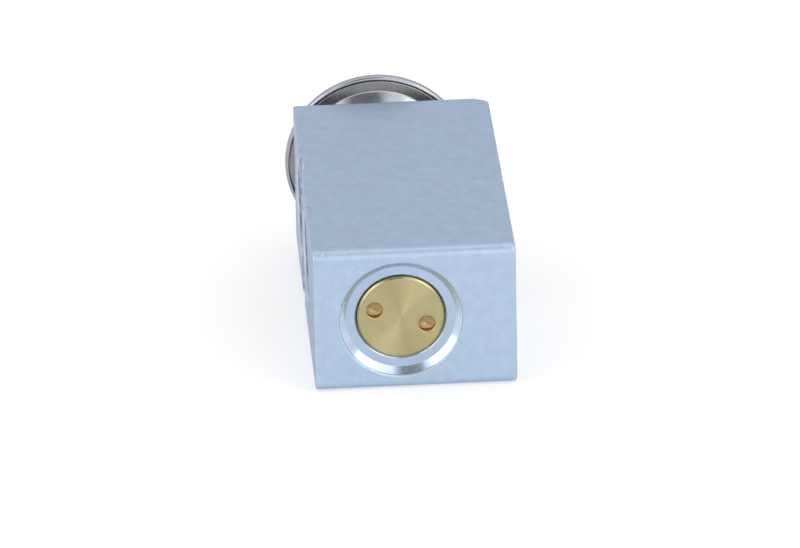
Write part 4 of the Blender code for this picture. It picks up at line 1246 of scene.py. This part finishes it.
@dataclass
class RodSet(SubAssembly):
    """The two rods, the sleeve on the upper one and the seal between them."""

    rod_foot: float = 23.4645
    rod_top: float = 38.35
    rod: float = 1.1
    sensing_foot: float = 38.5
    sensing_top: float = 67.9
    sensing: float = 2.6
    waist: float = 1.9
    waist_start: float = 46.2
    waist_end: float = 59.0
    sleeve: tuple[float, float] = (2.05, 3.2)
    slit: float = 36.0
    pocket: tuple[float, float] = (2.8, 4.8)
    backup_foot: float = 40.15
    oring_place: float = 42.2
    nut_foot: float = 43.4

    def build(self) -> None:
        """Makes and fits the rods and the seal."""
        foot, top, radius = self.rod_foot, self.rod_top, self.rod
        pin: list[Corner] = [
            (0, foot), (radius, foot, 0.35), (radius, top, 0.25), (0, top),
        ]
        self.fit("push_rod", lathe(pin, 48), "operating_rod", Slot.SHEET, STEEL)
        self.build_sensing_rod()
        inner, outer = self.pocket
        foot = self.backup_foot
        top = foot + 0.9
        backup = [(inner, foot, 0.1), (outer, foot, 0.1), (outer, top, 0.1), (inner, top, 0.1)]
        self.fit("backup_ring", lathe(backup, 64), "rod_backup_ring", Slot.RESIN, RESIN)
        ring = arc(((inner + outer) / 2, self.oring_place), 1.0, 0, 360, 20)[:-1]
        self.fit("rod_oring", lathe(ring, 64), "rod_seal_oring", Slot.RUBBER, RUBBER)
        self.build_nut()

    def build_sensing_rod(self) -> None:
        """The rod across the suction passage, and the slit sleeve that snaps on its waist."""
        radius, waist = self.sensing, self.waist
        corners: list[Corner] = [
            (0, self.sensing_foot), (radius, self.sensing_foot, 0.3),
            (radius, self.waist_start, 0.12), (waist, self.waist_start, 0.2),
            (waist, self.waist_end, 0.2), (radius, self.waist_end, 0.12),
            (radius, self.sensing_top, 0.35), (0, self.sensing_top),
        ]
        self.fit("sensing_rod", lathe(corners, 64), "heat_sensing_rod", Slot.ALUMINIUM, BORED)
        inner, outer = self.sleeve
        foot, top = self.waist_start + 0.15, self.waist_end - 0.15
        section: list[Corner] = [
            (inner, foot, 0.12), (outer, foot, 0.25), (outer, top, 0.25), (inner, top, 0.12),
        ]
        mesh = lathe(section, 56, sweep=360 - self.slit)
        turn = Matrix.Rotation(radians(90 + self.slit / 2), 4, "Y")
        mesh.transform(turn)
        self.fit("sensing_rod_sleeve", mesh, "rod_sleeve", Slot.RESIN, RESIN)

    def build_nut(self) -> None:
        """The dished washer whose teeth hold the seal in its pocket."""
        (inner, outer), foot, thick = self.pocket, self.nut_foot, 0.4
        flat = (inner + outer - 0.7) / 2
        section: list[Corner] = [
            (inner, foot, 0.08), (flat, foot, 0.3), (outer, foot + 0.25, 0.08),
            (outer, foot + 0.25 + thick, 0.08), (flat, foot + thick, 0.3),
            (inner, foot + thick, 0.08),
        ]
        vertices: list[Vector] = []
        faces: list[list[int]] = []
        for number in range(8):
            turn = Matrix.Rotation(tau * (number + 0.5) / 8, 3, "Y")
            slot = [(outer + 0.5, -0.45), (outer + 0.5, 0.45), (flat + 0.45, 0.32)]
            slot += [(flat + 0.3, 0.15), (flat + 0.3, -0.15), (flat + 0.45, -0.32)]
            start, count = len(vertices), len(slot)
            for along in (foot - 0.5, foot + 1.5):
                vertices += [turn @ Vector((x, along, z)) for x, z in slot]
            lower, upper = range(start, start + count), range(start + count, start + 2 * count)
            faces += [list(lower), list(upper)]
            for k in range(count):
                after = (k + 1) % count
                faces.append([lower[k], lower[after], upper[after], upper[k]])
        tools = [self.tool("tooth_tool", mesh_from(vertices, faces), STEEL)]
        self.fit("toothed_nut", lathe(section, 96), "push_nut", Slot.STEEL, STEEL, tools=tools)


@dataclass
class PressureHead(SubAssembly):
    """The two covers, the diaphragm between them, the stopper, the seal ring and the plug."""

    neck_foot: float = 62.1
    neck: float = 9.0
    neck_bore: float = 6.9
    seat: float = 70.4
    seat_radius: float = 12.0
    shoulder: float = 14.4
    shoulder_top: float = 72.4
    sheet: float = 1.0
    flange: float = 17.0
    flange_foot: float = 72.85
    flange_top: float = 73.45
    diaphragm_place: float = 73.6
    rim: float = 18.0
    rim_foot: float = 72.75
    upper_flange_foot: float = 73.93
    upper_flange_top: float = 74.55
    dome_radius: float = 10.8
    dome_top: float = 77.75
    stopper_top: float = 72.4
    waves: int = 2

    def build(self) -> None:
        """Makes and fits the head's pieces."""
        self.build_lower_cover()
        ring = arc((10.2, 69.35), 0.9, 0, 360, 20)[:-1]
        self.fit("head_oring", lathe(ring, 96), "head_seal_ring", Slot.RUBBER, RUBBER)
        self.build_stopper()
        self.build_diaphragm()
        self.build_upper_cover()
        self.build_plug()

    def build_lower_cover(self) -> None:
        """The lower shell: threaded neck, seat on the block, drawn shoulder and flange."""
        run, height = self.shoulder - self.seat_radius, self.shoulder_top - self.seat
        wall = sqrt(run**2 + height**2)
        inset, lift = self.sheet * height / wall, self.sheet * run / wall
        floor = self.seat + self.sheet
        floor_radius = self.seat_radius - inset + run / height * (self.sheet - lift)
        corners: list[Corner] = [
            (self.neck_bore, self.neck_foot, 0.15), (self.neck - 0.7, self.neck_foot, 0.05),
            (self.neck, self.neck_foot + 0.7, 0.0), (self.neck, self.seat - 1.6, 0.0),
            (self.neck - 0.35, self.seat - 1.3, 0.1), (self.neck - 0.35, self.seat, 0.12),
            (self.seat_radius, self.seat, 0.55), (self.shoulder, self.shoulder_top, 0.18),
            (self.shoulder + 0.5, self.flange_foot, 0.5, 1),
            (self.flange, self.flange_foot, 0.12, 1), (self.flange, self.flange_top, 0.1),
            (self.shoulder - inset + 0.3, self.flange_top, 0.25),
            (self.shoulder - inset, self.shoulder_top + lift, 0.2), (floor_radius, floor, 0.2),
            (self.neck_bore, floor, 0.25),
        ]
        thread = Thread(self.neck_foot + 0.7, self.seat - 1.6, self.neck)
        mesh = lathe(corners, 160, (thread,))
        self.fit("head_lower_shell", mesh, "lower_cover", Slot.SHEET, DRAWN, HELD)

    def build_stopper(self) -> None:
        """The flanged disc under the diaphragm, with the socket for the sensing rod."""
        foot, top = 71.7, self.stopper_top
        corners: list[Corner] = [
            (0, top), (11.2, top, 0.2), (11.2, foot, 0.12), (6.5, foot, 0.2), (6.5, 64.2, 0.3),
            (3.2, 64.2, 0.15), (2.9, 64.6, 0.05), (2.9, 68.2, 0.1), (0, 68.2),
        ]
        self.fit("stroke_stopper", lathe(corners, 96), "stopper", Slot.BRASS, BRASS)

    def build_diaphragm(self) -> None:
        """The corrugated disc, flat on the stopper."""
        thick, centre = 0.18, self.stopper_top + 0.2
        start, end, steps = 11.4, 13.46, 20 * self.waves
        under: list[Corner] = [(0, centre)]
        for step in range(steps + 1):
            share = step / steps
            level = centre + (self.diaphragm_place - centre) * share
            ripple = 0.18 * sin(self.waves * tau * share)
            under.append((start + (end - start) * share, level + ripple))
        under.append((self.flange - 0.05, self.diaphragm_place))
        over = [(radius, along + thick) for radius, along in under]
        mesh = lathe([*under, *reversed(over)], 96)
        piece = self.fit("corrugated_diaphragm", mesh, "diaphragm", Slot.SHEET, ROLLED)
        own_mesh(piece)

    def build_upper_cover(self) -> None:
        """The upper shell: rim rolled round the flanges, skirt, dome and filling dimple."""
        dome = (self.dome_radius - 2.0, self.dome_top - 2.0)
        skirt = (15.4, self.upper_flange_top + 1.2)
        corner, rounding = self.rim - 0.75, 0.75
        bore = self.flange + 0.3
        outside: list[Corner] = [(1.2, self.dome_top - 0.5, 0.05), (2.5, self.dome_top - 0.5, 0.3)]
        outside.append((3.0, self.dome_top, 0.4))
        outside += arc(dome, 2.0, 90, 35, 9)
        outside += arc(skirt, 1.2, 215, 270, 7)
        outside += arc((corner, self.upper_flange_top - rounding), rounding, 90, 0, 8)
        outside += arc((corner, self.rim_foot + rounding), rounding, 0, -80, 8)
        inside: list[Corner] = [
            (bore, self.rim_foot + 0.02, 0.1), (bore, self.upper_flange_foot, 0.1),
            (14.8, self.upper_flange_foot, 0.3),
        ]
        inside += arc(dome, 1.2, 35, 90, 6)
        inside += [(3.0, self.dome_top - 0.8, 0.3), (2.5, self.dome_top - 1.3, 0.1)]
        inside.append((1.2, self.dome_top - 1.3, 0.05))
        mesh = lathe([*outside, *inside], 160)
        self.fit("head_upper_shell", mesh, "upper_cover", Slot.SHEET, DRAWN)

    def build_plug(self) -> None:
        """The plug welded in the filling hole, its head slightly domed, with a weld collar."""
        foot, stem, head, dome = 77.4, 0.9, 2.1, 0.9
        turns = [radians(t) for t in range(12, 85, 12)]
        corners: list[Corner] = [
            (0, 76.45), (stem, 76.45, 0.1), (stem, foot, 0.0), (head, foot, 0.12),
            (head, foot + 0.4, 0.1),
            *[(head * cos(t), foot + 0.4 + dome * sin(t)) for t in turns],
            (0, foot + 1.3),
        ]
        self.fit("charge_plug_head", lathe(corners, 64), "charge_plug", Slot.STEEL, WELD)


@dataclass(frozen=True)
class Patch:
    """A part of the surroundings that is brighter or dimmer than the rest."""

    towards: tuple[float, float, float]
    core: float
    edge: float
    change: float


@dataclass
class Studio:
    """White sweep, soft boxes and the camera that the part is seen with."""

    camera_at: Vector = field(default_factory=lambda: Vector((-77.524, -1380.069, 653.882)))
    right: Vector = field(default_factory=lambda: Vector((0.997723, -0.064878, -0.018413)))
    up: Vector = field(default_factory=lambda: Vector((0.044088, 0.420849, 0.906059)))
    lens: float = 356.863
    floor_near: tuple[float, float] = (-39.35, 3.7)
    floor_far: tuple[float, float] = (34.3, 0.0)
    glow: float = 0.5
    surroundings: float = 0.9
    patches: tuple[Patch, ...] = (
        Patch((0.0, -0.55, 0.83), 15.0, 68.0, 0.6),
        Patch((-0.14, -0.51, 0.85), 13.0, 24.0, -1.25),
        Patch((-0.14, -0.98, 0.10), 8.0, 20.0, -0.85),
        Patch((0.36, -0.93, 0.03), 9.0, 20.0, 2.0),
    )

    def build(self) -> None:
        """Sets up everything round the part."""
        self.build_camera()
        self.build_floor()
        self.build_world()
        self.soft_box("left_soft_box", (-0.83, -0.40, 0.38), (0.45, 0.8), 1.7)
        self.soft_box("right_soft_box", (0.74, -0.42, 0.53), (0.45, 0.6), 1.7)
        bpy.context.scene.view_settings.view_transform = "Standard"

    def build_camera(self) -> None:
        """The camera at the photograph's place."""
        camera = bpy.data.objects.new("camera", bpy.data.cameras.new("camera"))
        bpy.context.scene.collection.objects.link(camera)
        right, up = self.right.normalized(), self.up.normalized()
        back = right.cross(up).normalized()
        up = back.cross(right)
        turn = Matrix((right, up, back)).transposed().to_4x4()
        camera.matrix_world = Matrix.Translation(self.camera_at * MM) @ turn
        camera.data.lens, camera.data.sensor_width = self.lens, 36.0
        camera.data.clip_start, camera.data.clip_end = 0.05, 20.0
        bpy.context.scene.camera = camera

    def build_floor(self) -> None:
        """The pale floor that the part rests on: the head's rim and the block's near edge.

        A view from under the floor looks through it.
        """
        (near_y, near_z), (far_y, far_z) = self.floor_near, self.floor_far
        slope = (far_z - near_z) / (far_y - near_y)
        reach = 4000.0
        vertices = [
            (x, y, near_z + slope * (y - near_y) - 0.05)
            for x, y in ((-reach, -reach), (reach, -reach), (reach, reach), (-reach, reach))
        ]
        mesh = bpy.data.meshes.new("floor")
        mesh.from_pydata([Vector(v) * MM for v in vertices], [], [(0, 1, 2, 3)])
        bench = NodeBench(bpy.data.materials.new("pale_floor"))
        path = bench.add("LightPath").outputs
        seen = bench.maths("MAXIMUM", path["Is Camera Ray"], path["Is Glossy Ray"])
        seen = bench.maths("MAXIMUM", seen, path["Is Transmission Ray"])
        faint = bench.noise(bench.point(), 0.02, 2.0)
        shade = bench.blend(faint, linear((188, 188, 188)), linear((192, 192, 192)))
        glow = bench.maths("MULTIPLY", seen, self.glow)
        under = bench.add("NewGeometry").outputs["Backfacing"]
        hidden = bench.maths("MULTIPLY", under, path["Is Camera Ray"])
        bench.dress(
            Base_Color=shade, Roughness=0.9, Emission_Color=(1, 1, 1, 1), Emission_Strength=glow,
            Alpha=bench.maths("SUBTRACT", 1.0, hidden), Specular_IOR_Level=0.0,
        )
        loose("floor", mesh, [bench.owner])

    def build_world(self) -> None:
        """White surroundings with soft brighter and dimmer patches, plain white to the camera."""
        world = bpy.data.worlds.new("surroundings")
        bpy.context.scene.world = world
        bench = NodeBench(world)
        place = bench.add("TexCoord").outputs["Generated"]
        level: Any = self.surroundings
        for patch in self.patches:
            facing = bench.vector("DOT_PRODUCT", place, Vector(patch.towards).normalized())
            ends = {"From Min": cos(radians(patch.edge)), "From Max": cos(radians(patch.core))}
            values = {"Value": facing, **ends, "To Min": 0.0, "To Max": patch.change}
            change = bench.add("MapRange", values, interpolation_type="SMOOTHSTEP").outputs[0]
            level = bench.maths("ADD", level, change)
        seen = bench.add("LightPath").outputs["Is Camera Ray"]
        mix = bench.add("Mix", {0: seen, 2: level, 3: 1.0})
        bench.dress(Color=(1, 1, 1, 1), Strength=mix.outputs[0])

    def soft_box(
        self,
        name: str,
        towards: tuple[float, float, float],
        size: tuple[float, float],
        level: float,
    ) -> None:
        """A square soft light that looks at the part.

        Args:
            name: The light's name.
            towards: Its direction from the part.
            size: Its width and height in metres.
            level: Its brightness, where the white surroundings are 1.
        """
        light = bpy.data.lights.new(name, "AREA")
        light.shape, light.size, light.size_y = "RECTANGLE", *size
        light.energy = level * pi * size[0] * size[1]
        lamp = bpy.data.objects.new(name, light)
        bpy.context.scene.collection.objects.link(lamp)
        out = Vector(towards).normalized()
        lamp.location = out * 1.1
        lamp.rotation_mode = "QUATERNION"
        lamp.rotation_quaternion = out.to_track_quat("Z", "Y")
        lamp.visible_camera = False


def main() -> None:
    """Builds the studio and every sub-assembly, placed from the block's solid."""
    logging.basicConfig(level=logging.INFO, format="%(name)s: %(message)s")
    lowest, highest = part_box("valve_block")
    middle = (lowest.z + highest.z) / 2
    origin = Vector((lowest.x + ValveBlock.left * MM, lowest.y, middle))
    Studio().build()
    for kind in (ValveBlock, ScrewSet, SpringSet, RodSet, PressureHead):
        kind(origin).build()
        log.info("%s built", kind.__name__)


if __name__ == "__main__":
    main()
